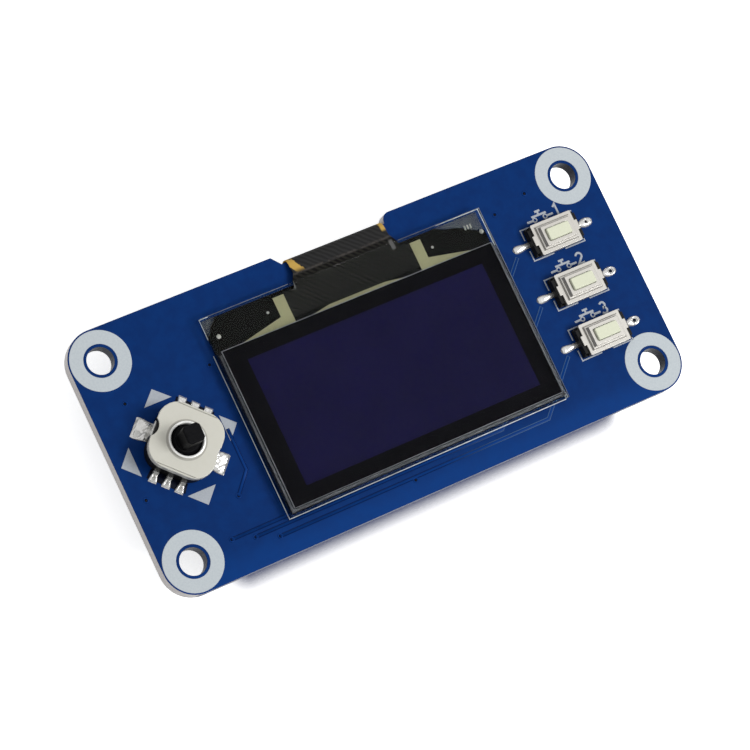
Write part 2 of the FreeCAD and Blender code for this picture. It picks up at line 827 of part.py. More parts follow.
def make_key_solder():
    end = key_base_length / 2 + 0.05
    height = key_solder_height
    mounds = []
    for side, reach in ((-1, key_solder_left_reach), (1, key_solder_right_reach)):
        sections = []
        for level, scale in ((0.0, 1.0), (0.55, 0.8), (1.0, 0.45)):
            trim = (1 - scale) * key_solder_wide
            sections.append(teardrop(end, end + reach - trim, key_solder_narrow * scale,
                                     key_solder_wide * scale, level * height))
        mound = Part.makeLoft(sections, True, True)
        if side < 0:
            mound.rotate(Vector(0, 0, 0), z_axis, 180)
        else:
            x = end + reach - 1.7 * key_solder_wide
            low = key_foot_thickness + 0.05
            mound = mound.cut(rod(key_dimple_radius, Vector(x, 0, low), Vector(x, 0, height + 0.1)))
        mounds.append(mound)
    return Part.makeCompound([mound.cut(key_feet()) for mound in mounds])


# Socket strip on the underside

def socket_columns_x():
    first = -(socket_columns - 1) * socket_pitch / 2
    return [first + index * socket_pitch for index in range(socket_columns)]


def tapered_mouth(x, y, z_face):
    outer = rectangle(pocket_mouth, pocket_mouth, z_face)
    inner = rectangle(pocket_size, pocket_size, z_face + pocket_mouth_depth)
    mouth = Part.makeLoft([outer, inner], True)
    mouth.translate(Vector(x, y, 0))
    return mouth


def make_socket_housing():
    z_top = -socket_standoff
    z_face = z_top - socket_height
    body = centred_box(socket_length, socket_width, z_face, z_top, 0, socket_y)
    feet = []
    for side in (-1, 1):
        x = side * (socket_length - socket_foot_length) / 2
        feet.append(centred_box(socket_foot_length, socket_width * 0.6, z_top, 0, x, socket_y))
    cuts = []
    for x in socket_columns_x():
        for side in (-1, 1):
            y = socket_y + side * socket_pitch / 2
            mouth = tapered_mouth(x, y, z_face)
            shaft = centred_box(pocket_size, pocket_size, z_face + pocket_mouth_depth, z_top, x, y)
            cuts.append(mouth.fuse(shaft))
    return merged([body] + feet).cut(Part.makeCompound(cuts))


def make_socket_contacts():
    # Each contact is two leaves under a bridge, a riser through the housing and a flat tail.
    z_top = -socket_standoff
    bridge_top = z_top - socket_height + contact_seat_height
    bridge_low = bridge_top - tail_thickness
    span = pocket_size - 2 * contact_gap
    contacts = []
    for x in socket_columns_x():
        for side in (-1, 1):
            y = socket_y + side * socket_pitch / 2
            parts = [centred_box(contact_leaf_width, span, bridge_low, bridge_top, x, y)]
            for leaf in (-1, 1):
                offset = leaf * (span - contact_leaf_thickness) / 2
                parts.append(centred_box(contact_leaf_width, contact_leaf_thickness,
                                         bridge_low - contact_leaf_length, bridge_low, x, y + offset))
            parts.append(centred_box(tail_width, tail_thickness, bridge_top, 0, x, y))
            end = socket_y + side * tail_reach
            start = y - side * tail_thickness / 2
            parts.append(box(x - tail_width / 2, x + tail_width / 2, min(start, end),
                             max(start, end), -tail_thickness, 0))
            contacts.append(merged(parts))
    return Part.makeCompound(contacts)


# Chip parts on the underside

def chip_centres(places):
    return [(column * chip_pitch_x - chip_row_start, chip_row_y - row * chip_pitch_y)
            for column, row in places]


def chip_bodies(places, height):
    core = chip_length - 2 * chip_cap_length
    return Part.makeCompound([centred_box(core, chip_width, -height, 0, x, y)
                              for x, y in chip_centres(places)])


def chip_ends(places, height):
    ends = []
    for x, y in chip_centres(places):
        for side in (-1, 1):
            offset = side * (chip_length - chip_cap_length) / 2
            ends.append(centred_box(chip_cap_length, chip_width, -height, 0, x + offset, y))
    return Part.makeCompound(ends)


def build_nodes():
    ribbon = make_ribbon()
    nodes = {
        "board": make_board(),
        "display_tape": make_tape(),
        "display_back_glass": make_back_glass(),
        "display_seal_frame": make_seal_frame(),
        "display_picture_layer": make_picture_layer(),
        "display_contact_strips": make_contact_strips(ribbon),
        "display_ledge_coating": make_ledge_coating(),
        "display_front_glass": make_front_glass(),
        "display_polarizer": make_polarizer(),
        "display_ribbon": ribbon,
        "display_driver_chip": make_driver_chip(),
        "display_ribbon_solder": make_ribbon_solder(),
        "stick_base": make_stick_base(),
        "stick_cover": make_stick_cover(),
        "stick_tilt_ring": make_tilt_ring(),
        "stick_rocker": make_rocker(),
        "stick_stem": make_stem(),
        "stick_centre_dome": make_centre_dome(),
        "stick_side_contacts": make_side_contacts(),
        "stick_leads": make_stick_leads(),
        "stick_anchor_tabs": make_stick_anchors(),
        "stick_solder": make_stick_solder(),
        "socket_housing": make_socket_housing(),
        "socket_contacts": make_socket_contacts(),
        "capacitor_bodies": chip_bodies(capacitor_places, capacitor_height),
        "capacitor_ends": chip_ends(capacitor_places, capacitor_height),
        "resistor_bodies": chip_bodies(resistor_places, resistor_height),
        "resistor_ends": chip_ends(resistor_places, resistor_height),
    }
    for number in range(1, key_count + 1):
        name = "key_" + str(number)
        y = key_middle_y + (2 - number) * key_pitch
        nodes[name + "_base"] = on_key(make_key_base(), y)
        nodes[name + "_cover"] = on_key(make_key_cover(), y)
        nodes[name + "_button"] = on_key(make_key_button(), y)
        nodes[name + "_dome"] = on_key(make_key_dome(), y)
        nodes[name + "_feet"] = on_key(Part.makeCompound(key_feet()), y)
        nodes[name + "_solder"] = on_key(make_key_solder(), y)
    return nodes


os.makedirs("parts", exist_ok=True)
for node, shape in build_nodes().items():
    shape.exportStep("parts/" + node + ".step")
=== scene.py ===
import bmesh
import bpy
import numpy as np
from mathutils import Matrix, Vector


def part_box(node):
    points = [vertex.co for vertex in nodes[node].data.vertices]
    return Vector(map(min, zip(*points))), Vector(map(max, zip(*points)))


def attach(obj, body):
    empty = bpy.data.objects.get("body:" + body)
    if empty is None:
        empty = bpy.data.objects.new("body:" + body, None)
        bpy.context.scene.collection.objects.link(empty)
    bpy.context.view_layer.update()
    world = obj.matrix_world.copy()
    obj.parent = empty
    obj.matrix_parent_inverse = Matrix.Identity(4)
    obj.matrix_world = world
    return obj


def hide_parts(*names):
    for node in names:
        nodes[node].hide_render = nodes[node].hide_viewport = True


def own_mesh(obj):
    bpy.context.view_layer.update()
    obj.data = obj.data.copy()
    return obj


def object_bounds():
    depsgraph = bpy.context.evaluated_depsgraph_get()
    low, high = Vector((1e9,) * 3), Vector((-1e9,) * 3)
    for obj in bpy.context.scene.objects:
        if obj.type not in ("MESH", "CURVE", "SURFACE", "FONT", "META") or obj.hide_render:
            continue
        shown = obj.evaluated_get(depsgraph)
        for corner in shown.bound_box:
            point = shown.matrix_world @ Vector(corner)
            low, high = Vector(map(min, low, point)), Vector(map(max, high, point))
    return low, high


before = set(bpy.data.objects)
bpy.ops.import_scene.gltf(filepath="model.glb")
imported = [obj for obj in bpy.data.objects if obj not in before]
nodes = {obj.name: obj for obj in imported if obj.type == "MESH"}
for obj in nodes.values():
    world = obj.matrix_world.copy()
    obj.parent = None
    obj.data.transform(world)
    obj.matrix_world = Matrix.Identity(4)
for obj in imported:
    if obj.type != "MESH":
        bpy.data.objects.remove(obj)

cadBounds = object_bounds()
mm = 0.001
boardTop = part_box("board")[1].z / mm
print("stage: frame loaded,", len(nodes), "nodes")


# Mesh parts. Each maker returns (vertices in millimetres, quads), worked out as whole arrays.

def gridPart(points, wrapRows=False, wrapColumns=True):
    # Quads between neighbours of a rows x columns grid of points; a wrapped side joins its last to
    # its first.
    rows, columns = points.shape[:2]
    r = np.arange(rows if wrapRows else rows - 1)
    c = np.arange(columns if wrapColumns else columns - 1)
    r, c = [a.ravel() for a in np.meshgrid(r, c, indexing="ij")]
    nextRow, nextColumn = (r + 1) % rows, (c + 1) % columns
    quads = np.stack([r * columns + c, r * columns + nextColumn,
                      nextRow * columns + nextColumn, nextRow * columns + c], axis=1)
    return points.reshape(-1, 3), quads


def patchPart(outline, z, height, topShare=0.985):
    # A flat plate: copies of a closed outline shrunk towards its middle, point = middle + share *
    # (outline - middle). A share of 0 closes the plate, and its upper edge is drawn in a little.
    outline = np.asarray(outline, float)
    middle = outline.mean(axis=0)
    shares = np.array([0, 1, topShare, 0])[:, None, None]
    flat = middle + shares * (outline - middle)
    levels = np.array([z, z, z + height, z + height])[:, None, None]
    return gridPart(np.concatenate([flat, np.broadcast_to(levels, flat.shape[:2] + (1,))], axis=2))


def unitRows(rows):
    return rows / np.linalg.norm(rows, axis=1, keepdims=True)


def mitredSides(path, closed=False, sharpest=0.35):
    # The normal of a path at each point, over the cosine of half the turn there, so that corners are
    # mitred: side = normal of along / max(along . ahead, sharpest), along = halfway of both steps.
    if closed:
        ahead, behind = np.roll(path, -1, axis=0) - path, path - np.roll(path, 1, axis=0)
    else:
        step = np.diff(path, axis=0)
        ahead, behind = np.vstack([step, step[-1:]]), np.vstack([step[:1], step])
    ahead, behind = unitRows(ahead), unitRows(behind)
    along = unitRows(ahead + behind)
    across = np.stack([-along[:, 1], along[:, 0]], axis=1)
    return across / np.maximum((along * ahead).sum(axis=1, keepdims=True), sharpest)


def stripPart(path, width, z, height, closed=False, bevel=0.25):
    # A flat band carried along a path: point = path + side * y, where (y, z) runs over a low
    # trapezoid that loses its share of bevel at the top. Open ends collapse to their middle.
    path = np.asarray(path, float)
    half = width / 2
    section = np.array([(-half, 0), (-half * (1 - bevel), height), (half * (1 - bevel), height), (half, 0)])
    flat = path[:, None, :] + mitredSides(path, closed)[:, None, :] * section[None, :, :1]
    up = np.broadcast_to(z + section[None, :, 1:], flat.shape[:2] + (1,))
    points = np.concatenate([flat, up], axis=2)
    if not closed:
        first, last = [np.broadcast_to(points[k].mean(axis=0), points[:1].shape) for k in (0, -1)]
        points = np.concatenate([first, points, last])
    return gridPart(points, wrapRows=closed)


def turnedPart(profile, centre, segments=40, wrapRows=False):
    # A surface of revolution round a vertical line: (x, y, z) = centre + (r cos a, r sin a, z).
    profile = np.asarray(profile, float)
    angle = np.linspace(0, 2 * np.pi, segments, endpoint=False)
    x = centre[0] + profile[:, :1] * np.cos(angle)
    y = centre[1] + profile[:, :1] * np.sin(angle)
    z = np.broadcast_to(centre[2] + profile[:, 1:], x.shape)
    return gridPart(np.stack([x, y, z], axis=2), wrapRows=wrapRows)


def plateProfile(radius, height):
    # Half the section of a round plate, for turnedPart.
    return [(0, 0), (radius, 0), (radius, height), (0, height)]


def arcPath(x, y, radius, start, end, steps):
    # Points at (x + radius cos a, y + radius sin a), with a from start to end in degrees.
    angle = np.radians(np.linspace(start, end, steps))
    return np.stack([x + radius * np.cos(angle), y + radius * np.sin(angle)], axis=1)


solderLook = {"roundness": 0.9, "grooveWidth": 0.42, "lumps": (5.1, 6.3, 9.7, 7.9, 0.6)}


def solderPart(stations, origin, turn, z, across=25, along=40, dimple=None, groove=0, lumps=0, seed=0):
    # A solder fillet along its own +X: stations are (x, half width, height), joined by smooth steps.
    # Section at x: y = half width * cos v, z = height * sin(v) ^ roundness, v from 0 to pi. A groove
    # takes off its share * exp(-(y / (groove width * half width)) ^ 2), a dimple (x, y, radius, depth)
    # takes off depth * exp(-(distance / radius) ^ 2), and lumps raise it by their share of
    # sin(a x + seed) cos(b y + 2 seed) + fine share * sin(c x - d y + seed).
    stations = np.asarray(stations, float)
    t = np.linspace(0, len(stations) - 1, along)
    i = np.minimum(t.astype(int), len(stations) - 2)
    f = (t - i)[:, None]
    f = f * f * (3 - 2 * f)
    row = stations[i] * (1 - f) + stations[i + 1] * f
    v = np.linspace(0, np.pi, across)
    x = np.broadcast_to(row[:, :1], (along, across))
    y = row[:, 1:2] * np.cos(v)
    lift = np.sin(v) ** solderLook["roundness"]
    grooved = groove * np.exp(-(y / (solderLook["grooveWidth"] * row[:, 1:2])) ** 2)
    up = row[:, 2:3] * lift * (1 - grooved)
    if dimple:
        px, py, radius, depth = dimple
        up = up - depth * np.exp(-((x - px) ** 2 + (y - py) ** 2) / radius ** 2)
    if lumps:
        a, b, c, d, fine = solderLook["lumps"]
        wave = np.sin(x * a + seed) * np.cos(y * b + 2 * seed) + fine * np.sin(x * c - y * d + seed)
        up = up * (1 + lumps * wave)
    up = np.maximum(up, 0)
    cos, sin = np.cos(np.radians(turn)), np.sin(np.radians(turn))
    points = np.stack([origin[0] + cos * x - sin * y, origin[1] + sin * x + cos * y, z + up], axis=2)
    ends = [np.broadcast_to(points[k].mean(axis=0) * [1, 1, 0] + [0, 0, z], (1, across, 3)) for k in (0, -1)]
    return gridPart(np.concatenate([ends[0], points, ends[1]]))


def newObject(name, data):
    made = bpy.data.objects.new(name, data)
    bpy.context.scene.collection.objects.link(made)
    return made


def middleOf(low, high):
    # Middle of a box in x and y, in millimetres.
    return (low.x + high.x) / 2 / mm, (low.y + high.y) / 2 / mm


def makePiece(name, parts, material, body="module", smooth=True, mergeDistance=1e-7):
    sizes = np.cumsum([0] + [len(vertices) for vertices, _ in parts])
    vertices = np.concatenate([vertices for vertices, _ in parts]) * mm
    quads = np.concatenate([quads + start for (_, quads), start in zip(parts, sizes)])
    mesh = bpy.data.meshes.new(name)
    mesh.from_pydata(vertices.tolist(), [], quads.tolist())
    work = bmesh.new()
    work.from_mesh(mesh)
    bmesh.ops.remove_doubles(work, verts=work.verts, dist=mergeDistance)
    bmesh.ops.recalc_face_normals(work, faces=work.faces)
    work.to_mesh(mesh)
    work.free()
    mesh.shade_smooth() if smooth else mesh.shade_flat()
    piece = newObject(name, mesh)
    mesh.materials.append(materials[material])
    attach(piece, body)
    return piece


# Shader groups. They read a vector in millimetres and put out masks, values and heights only.

def newGroup(name, inputs, outputs):
    # Inputs come with their plain values, None for a vector. Of the outputs, only Normal is a vector.
    group = bpy.data.node_groups.new(name, "ShaderNodeTree")
    kinds = {True: "NodeSocketVector", False: "NodeSocketFloat"}
    for socket, value in inputs.items():
        made = group.interface.new_socket(name=socket, in_out="INPUT", socket_type=kinds[value is None])
        if value is not None:
            made.default_value = value
    for socket in outputs:
        group.interface.new_socket(name=socket, in_out="OUTPUT", socket_type=kinds[socket == "Normal"])
    return group, group.nodes.new("NodeGroupInput").outputs, group.nodes.new("NodeGroupOutput").inputs


def newNode(tree, kind, inputs, **settings):
    # Numbers and colors are set on their sockets, outputs are linked to them.
    node = tree.nodes.new("ShaderNode" + kind)
    for key, value in settings.items():
        setattr(node, key, value)
    for socket, value in inputs.items():
        if isinstance(value, (int, float, tuple)):
            node.inputs[socket].default_value = value
        else:
            tree.links.new(value, node.inputs[socket])
    return node.outputs


def mathNode(tree, operation, *values):
    return newNode(tree, "Math", dict(enumerate(values)), operation=operation)[0]


def noiseNode(tree, vector, scale, detail=3, distortion=0):
    return newNode(tree, "TexNoise", {"Vector": vector, "Scale": scale, "Detail": detail,
                                      "Distortion": distortion})["Fac"]


def rangeNode(tree, value, low, high, toLow=0, toHigh=1):
    # A smooth step: toLow up to low, toHigh from high on.
    limits = {"Value": value, "From Min": low, "From Max": high, "To Min": toLow, "To Max": toHigh}
    return newNode(tree, "MapRange", limits, interpolation_type="SMOOTHSTEP")["Result"]


def splitNode(tree, vector):
    return newNode(tree, "SeparateXYZ", {0: vector})


def makeGrainGroup():
    # Tone: soft cloudy share from 0 to 1. Height: finer noise for bump.
    look = {"clouds": (0.3, 0.7), "cloudDetail": 4, "finer": 3.7, "finerDetail": 2}
    group, given, out = newGroup("surfaceGrain", {"Vector": None, "Scale": 4}, ("Tone", "Height"))
    coarse = noiseNode(group, given["Vector"], given["Scale"], look["cloudDetail"])
    group.links.new(rangeNode(group, coarse, *look["clouds"]), out["Tone"])
    finer = mathNode(group, "MULTIPLY", given["Scale"], look["finer"])
    group.links.new(noiseNode(group, given["Vector"], finer, look["finerDetail"]), out["Height"])
    return group


def makeSmudgeGroup():
    # Handling marks and dust: a few wide patches, which begin at start - widening * cover of the
    # noise, broken up by finer specks.
    look = {"detail": 5, "distortion": 1.2, "start": 0.72, "widening": 0.3, "full": 0.85,
            "speckScale": 9, "speckDetail": 2, "specks": (0.35, 0.7)}
    group, given, out = newGroup("handlingMarks", {"Vector": None, "Scale": 0.6, "Cover": 0.5}, ("Mask",))
    wide = noiseNode(group, given["Vector"], given["Scale"], look["detail"], look["distortion"])
    earlier = mathNode(group, "MULTIPLY", given["Cover"], look["widening"])
    start = mathNode(group, "SUBTRACT", look["start"], earlier)
    patch = rangeNode(group, wide, start, look["full"])
    fine = noiseNode(group, given["Vector"], look["speckScale"], look["speckDetail"])
    group.links.new(mathNode(group, "MULTIPLY", patch, rangeNode(group, fine, *look["specks"])), out["Mask"])
    return group


def makeLineGroup():
    # Parallel lines: share = |fract(x' / pitch) - 0.5| * 2, where x' is x turned about Z by the angle
    # plus a slow sway.
    look = {"swayScale": 0.8, "swayDetail": 2, "flanks": (0.25, 0.75)}
    group, given, out = newGroup("parallelLines", {"Vector": None, "Angle": 0, "Pitch": 0.4, "Waver": 0},
                                 ("Mask",))
    turning = {key: given[key] for key in ("Vector", "Angle")}
    turn = newNode(group, "VectorRotate", turning, rotation_type="Z_AXIS")
    slow = noiseNode(group, given["Vector"], look["swayScale"], look["swayDetail"])
    sway = mathNode(group, "MULTIPLY", slow, given["Waver"])
    turned = mathNode(group, "ADD", splitNode(group, turn[0])["X"], sway)
    place = mathNode(group, "FRACT", mathNode(group, "DIVIDE", turned, given["Pitch"]))
    share = mathNode(group, "ABSOLUTE", mathNode(group, "SUBTRACT", place, 0.5))
    group.links.new(rangeNode(group, mathNode(group, "MULTIPLY", share, 2), *look["flanks"]), out["Mask"])
    return group


def makeSideGroup():
    # 1 on steep faces, 0 on level ones, from the height share of the surface's normal.
    group, given, out = newGroup("steepFaces", {"Steep": 0.35, "Level": 0.75}, ("Mask",))
    level = mathNode(group, "ABSOLUTE", splitNode(group, newNode(group, "NewGeometry", {})["Normal"])["Z"])
    group.links.new(rangeNode(group, level, given["Steep"], given["Level"], 1, 0), out["Mask"])
    return group


def makeEdgeGroup():
    # Rounded-off normals near edges, and a mask of the edges: 1 - (rounded normal . true normal),
    # widened and broken up by noise.
    look = {"samples": 4, "likeness": (0.86, 0.995), "breakScale": 2.6, "breaks": (0.3, 0.6, 0.35, 1)}
    group, given, out = newGroup("edgeWear", {"Vector": None, "Width": 0.08}, ("Mask", "Normal"))
    radius = mathNode(group, "MULTIPLY", given["Width"], mm)
    rounded = newNode(group, "Bevel", {"Radius": radius}, samples=look["samples"])["Normal"]
    true = newNode(group, "NewGeometry", {})["Normal"]
    likeness = newNode(group, "VectorMath", {0: rounded, 1: true}, operation="DOT_PRODUCT")["Value"]
    edge = rangeNode(group, likeness, *look["likeness"], 1, 0)
    broken = rangeNode(group, noiseNode(group, given["Vector"], look["breakScale"]), *look["breaks"])
    group.links.new(mathNode(group, "MULTIPLY", edge, broken), out["Mask"])
    group.links.new(rounded, out["Normal"])
    return group


grainGroup = makeGrainGroup()
smudgeGroup = makeSmudgeGroup()
lineGroup = makeLineGroup()
sideGroup = makeSideGroup()
edgeGroup = makeEdgeGroup()

weatherLook = {"marksShare": 0.35, "tonePart": 0.6, "smudgePart": 0.4}


class Skin:
    # One material: a Principled shader, its vector in millimetres, and short ways to chain masks.

    def __init__(self, name, color, roughness, metallic=0, specular=0.5, **plain):
        self.material = bpy.data.materials.new(name)
        self.material.use_nodes = True
        self.tree = self.material.node_tree
        self.shader = self.tree.nodes["Principled BSDF"]
        place = newNode(self.tree, "TexCoord", {})["Object"]
        self.vector = newNode(self.tree, "Mapping", {"Vector": place, "Scale": (1 / mm,) * 3})["Vector"]
        self.place = splitNode(self.tree, self.vector)
        plain.update({"Base Color": (*color, 1), "Roughness": roughness, "Metallic": metallic,
                      "Specular IOR Level": specular})
        for socket, value in plain.items():
            self.shader.inputs[socket.replace("_", " ")].default_value = value
        self.plainColor, self.color, self.normal, self.wear = color, None, None, None

    def link(self, value, socket):
        self.tree.links.new(value, self.shader.inputs[socket])

    def math(self, operation, *values):
        return mathNode(self.tree, operation, *values)

    def times(self, *values):
        return mathNode(self.tree, "MULTIPLY", *values)

    def ramp(self, value, *limits):
        return rangeNode(self.tree, value, *limits)

    def group(self, tree, **values):
        # Only the group of steep faces takes no vector.
        if tree is not sideGroup:
            values["Vector"] = self.vector
        return newNode(self.tree, "Group", values, node_tree=tree)

    def inside(self, axis, low, high, soft):
        # 1 where low < coordinate < high, in millimetres, with soft ends.
        value = self.place[axis]
        rise = self.ramp(value, low - soft, low + soft)
        return self.times(rise, self.ramp(value, high - soft, high + soft, 1, 0))

    def area(self, limitsX, limitsY):
        return self.times(self.inside("X", *limitsX), self.inside("Y", *limitsY))

    def distance(self, *offsets):
        # Root of the sum of two squares.
        squares = [self.times(offset, offset) for offset in offsets]
        return self.math("SQRT", self.math("ADD", *squares))

    def tint(self, mask, color, share=1):
        # Base Color moves towards color where mask is 1.
        mask = mask if share == 1 else self.times(mask, share)
        mix = {0: mask, 6: self.color or (*self.plainColor, 1), 7: (*color, 1)}
        self.color = newNode(self.tree, "Mix", mix, data_type="RGBA")[2]
        self.link(self.color, "Base Color")

    def roughen(self, mask, low, high):
        self.link(self.ramp(mask, 0, 1, low, high), "Roughness")

    def raised(self, height, strength, distance):
        # Bump, chained on the bump before it; distance is in millimetres.
        inputs = {"Strength": strength, "Distance": distance * mm, "Height": height}
        if self.normal:
            inputs["Normal"] = self.normal
        self.normal = newNode(self.tree, "Bump", inputs)["Normal"]
        self.link(self.normal, "Normal")

    def worn(self, width, color, share):
        # Edges softened over a width in millimetres; weathered() then rubs them towards color.
        edge = self.group(edgeGroup, Width=width)
        self.normal = edge["Normal"]
        self.wear = (edge["Mask"], color, share)

    def weathered(self, scale, second, share, roughness, bump, marks=0.35, marksColor=None):
        # The usual surface: cloudy tone, fine bump, and handling marks that change the gloss.
        grain = self.group(grainGroup, Scale=scale)
        self.tint(grain["Tone"], second, share)
        smudge = self.group(smudgeGroup, Cover=marks)["Mask"]
        if marksColor:
            self.tint(smudge, marksColor, weatherLook["marksShare"])
        if self.wear:
            self.tint(*self.wear)
        total = self.math("ADD", self.times(grain["Tone"], weatherLook["tonePart"]),
                          self.times(smudge, weatherLook["smudgePart"]))
        self.roughen(total, *roughness)
        self.raised(grain["Height"], *bump)


# Materials. Limits and pitches are in millimetres.

quarterTurn = 1.5708
holeX, holeY = 29, 11.5


def boardSkin(name, withEdge, lift=1):
    look = {"mask": (0.003, 0.029, 0.143), "maskDeep": (0.0019, 0.02, 0.108), "rubbed": (0.006, 0.042, 0.2),
            "marks": (0.012, 0.05, 0.18), "paintedSheen": (0.0038, 0.05, 0.24), "paintedSheenLimits": (-14.6, -11.2),
            "weavePitch": 0.42, "laminate": (0.64, 0.61, 0.6), "resin": (0.46, 0.44, 0.43), "layerPitch": 0.2,
            "shadedEdge": (0.025, 0.04, 0.105), "shadedEdgeLimits": (14.8, 14.95),
            "bore": (0.008, 0.012, 0.03), "boreLimits": (1.55, 1.65)}
    mask, maskDeep = [[lift * share for share in look[key]] for key in ("mask", "maskDeep")]
    skin = Skin(name, mask, 0.38, specular=0.04)
    if withEdge:
        skin.worn(0.12, look["rubbed"], 0.6)
    skin.weathered(0.9, maskDeep, 0.55, (0.3, 0.44), (0.12, 0.01), marks=0.25, marksColor=look["marks"])
    # The mask is painted a little lighter along the long edge away from the ribbon, as a painted sheen there
    skin.tint(skin.ramp(skin.place["Y"], *look["paintedSheenLimits"], 1, 0), look["paintedSheen"], 0.45)
    weave, crossWeave = [skin.group(lineGroup, Angle=angle, Pitch=look["weavePitch"], Waver=0.05)["Mask"]
                         for angle in (0, quarterTurn)]
    skin.raised(skin.math("ADD", weave, crossWeave), 0.05, 0.004)
    if not withEdge:
        return skin
    side = skin.group(sideGroup)["Mask"]
    layers = skin.math("FRACT", skin.math("DIVIDE", skin.place["Z"], look["layerPitch"]))
    skin.tint(side, look["laminate"])
    skin.tint(skin.times(side, layers), look["resin"], 0.6)
    # The long edges are painted dark and bluish, as painted shade along them
    longEdge = skin.ramp(skin.math("ABSOLUTE", skin.place["Y"]), *look["shadedEdgeLimits"])
    skin.tint(skin.times(side, longEdge), look["shadedEdge"], 0.95)
    # The bores are painted dark too, as painted shade inside the holes: |x| - hole x and |y| - hole y lie within
    # the bore's radius
    offsets = [skin.math("SUBTRACT", skin.math("ABSOLUTE", skin.place[axis]), middle)
               for axis, middle in zip("XY", (holeX, holeY))]
    bore = skin.ramp(skin.distance(*offsets), *look["boreLimits"], 1, 0)
    skin.tint(skin.times(bore, side), look["bore"], 0.92)
    return skin


def trackShoulder(name):
    # Mask over the sides of a track: in shade at the stick's end, catching the light at the keys' end.
    look = {"dark": (0.0006, 0.01, 0.06), "cloudy": 1.4, "pale": (0.055, 0.115, 0.24), "paleLimits": (0, 12)}
    skin = Skin(name, look["dark"], 0.4, specular=0.04)
    skin.weathered(2, [look["cloudy"] * share for share in look["dark"]], 0.5, (0.3, 0.5), (0.1, 0.01))
    skin.tint(skin.ramp(skin.place["X"], *look["paleLimits"]), look["pale"], 0.9)
    return skin


def foamTape(name):
    look = {"foam": (0.55, 0.55, 0.52), "foamDeep": (0.42, 0.42, 0.4)}
    skin = Skin(name, look["foam"], 0.85, specular=0.2)
    skin.weathered(6, look["foamDeep"], 0.6, (0.75, 0.95), (0.5, 0.03))
    return skin


def clearGlass(name):
    look = {"clear": (0.95, 0.98, 0.97), "smudged": (0.86, 0.92, 0.92), "roughness": (0.015, 0.09)}
    skin = Skin(name, look["clear"], 0.02, specular=0.1, Transmission_Weight=1, IOR=1.15)
    smudge = skin.group(smudgeGroup, Scale=0.35, Cover=0.5)["Mask"]
    skin.tint(smudge, look["smudged"], 0.5)
    skin.roughen(smudge, *look["roughness"])
    return skin


def polarizerFilm(name):
    look = {"film": (0.003, 0.003, 0.004), "cloudy": (0.006, 0.005, 0.008), "smudged": (0.02, 0.02, 0.03),
            "edge": (0.5, 0.54, 0.56)}
    skin = Skin(name, look["film"], 0.12, specular=0.03, Alpha=0.35)
    grain = skin.group(grainGroup, Scale=1.4)
    skin.tint(grain["Tone"], look["cloudy"], 0.5)
    smudge = skin.group(smudgeGroup, Scale=0.12, Cover=0.6)["Mask"]
    skin.tint(smudge, look["smudged"], 0.25)
    skin.roughen(smudge, 0.1, 0.22)
    # The film's cut edges are painted pale, as a painted highlight along them
    skin.tint(skin.group(sideGroup)["Mask"], look["edge"], 0.8)
    skin.raised(grain["Height"], 0.03, 0.004)
    return skin


def pictureLayer(name):
    look = {"violet": (0.038, 0.029, 0.23), "dim": (0.024, 0.018, 0.17), "gap": (0.02, 0.018, 0.1), "pitch": 0.23}
    skin = Skin(name, look["violet"], 0.3, specular=0.2)
    skin.tint(skin.group(grainGroup, Scale=0.25)["Tone"], look["dim"], 0.6)
    lines = [skin.group(lineGroup, Angle=angle, Pitch=look["pitch"])["Mask"] for angle in (0, quarterTurn)]
    skin.tint(skin.math("MAXIMUM", *lines), look["gap"], 0.25)
    return skin


def electrodeMetal(name):
    look = {"gold": (0.34, 0.315, 0.175), "pale": (0.29, 0.27, 0.155), "gap": (0.24, 0.22, 0.12), "pitch": 0.22}
    skin = Skin(name, look["gold"], 0.45, metallic=0.25, specular=0.3)
    skin.weathered(3, look["pale"], 0.6, (0.35, 0.55), (0.1, 0.01))
    lines = skin.group(lineGroup, Angle=0, Pitch=look["pitch"])["Mask"]
    skin.tint(lines, look["gap"], 0.25)
    return skin


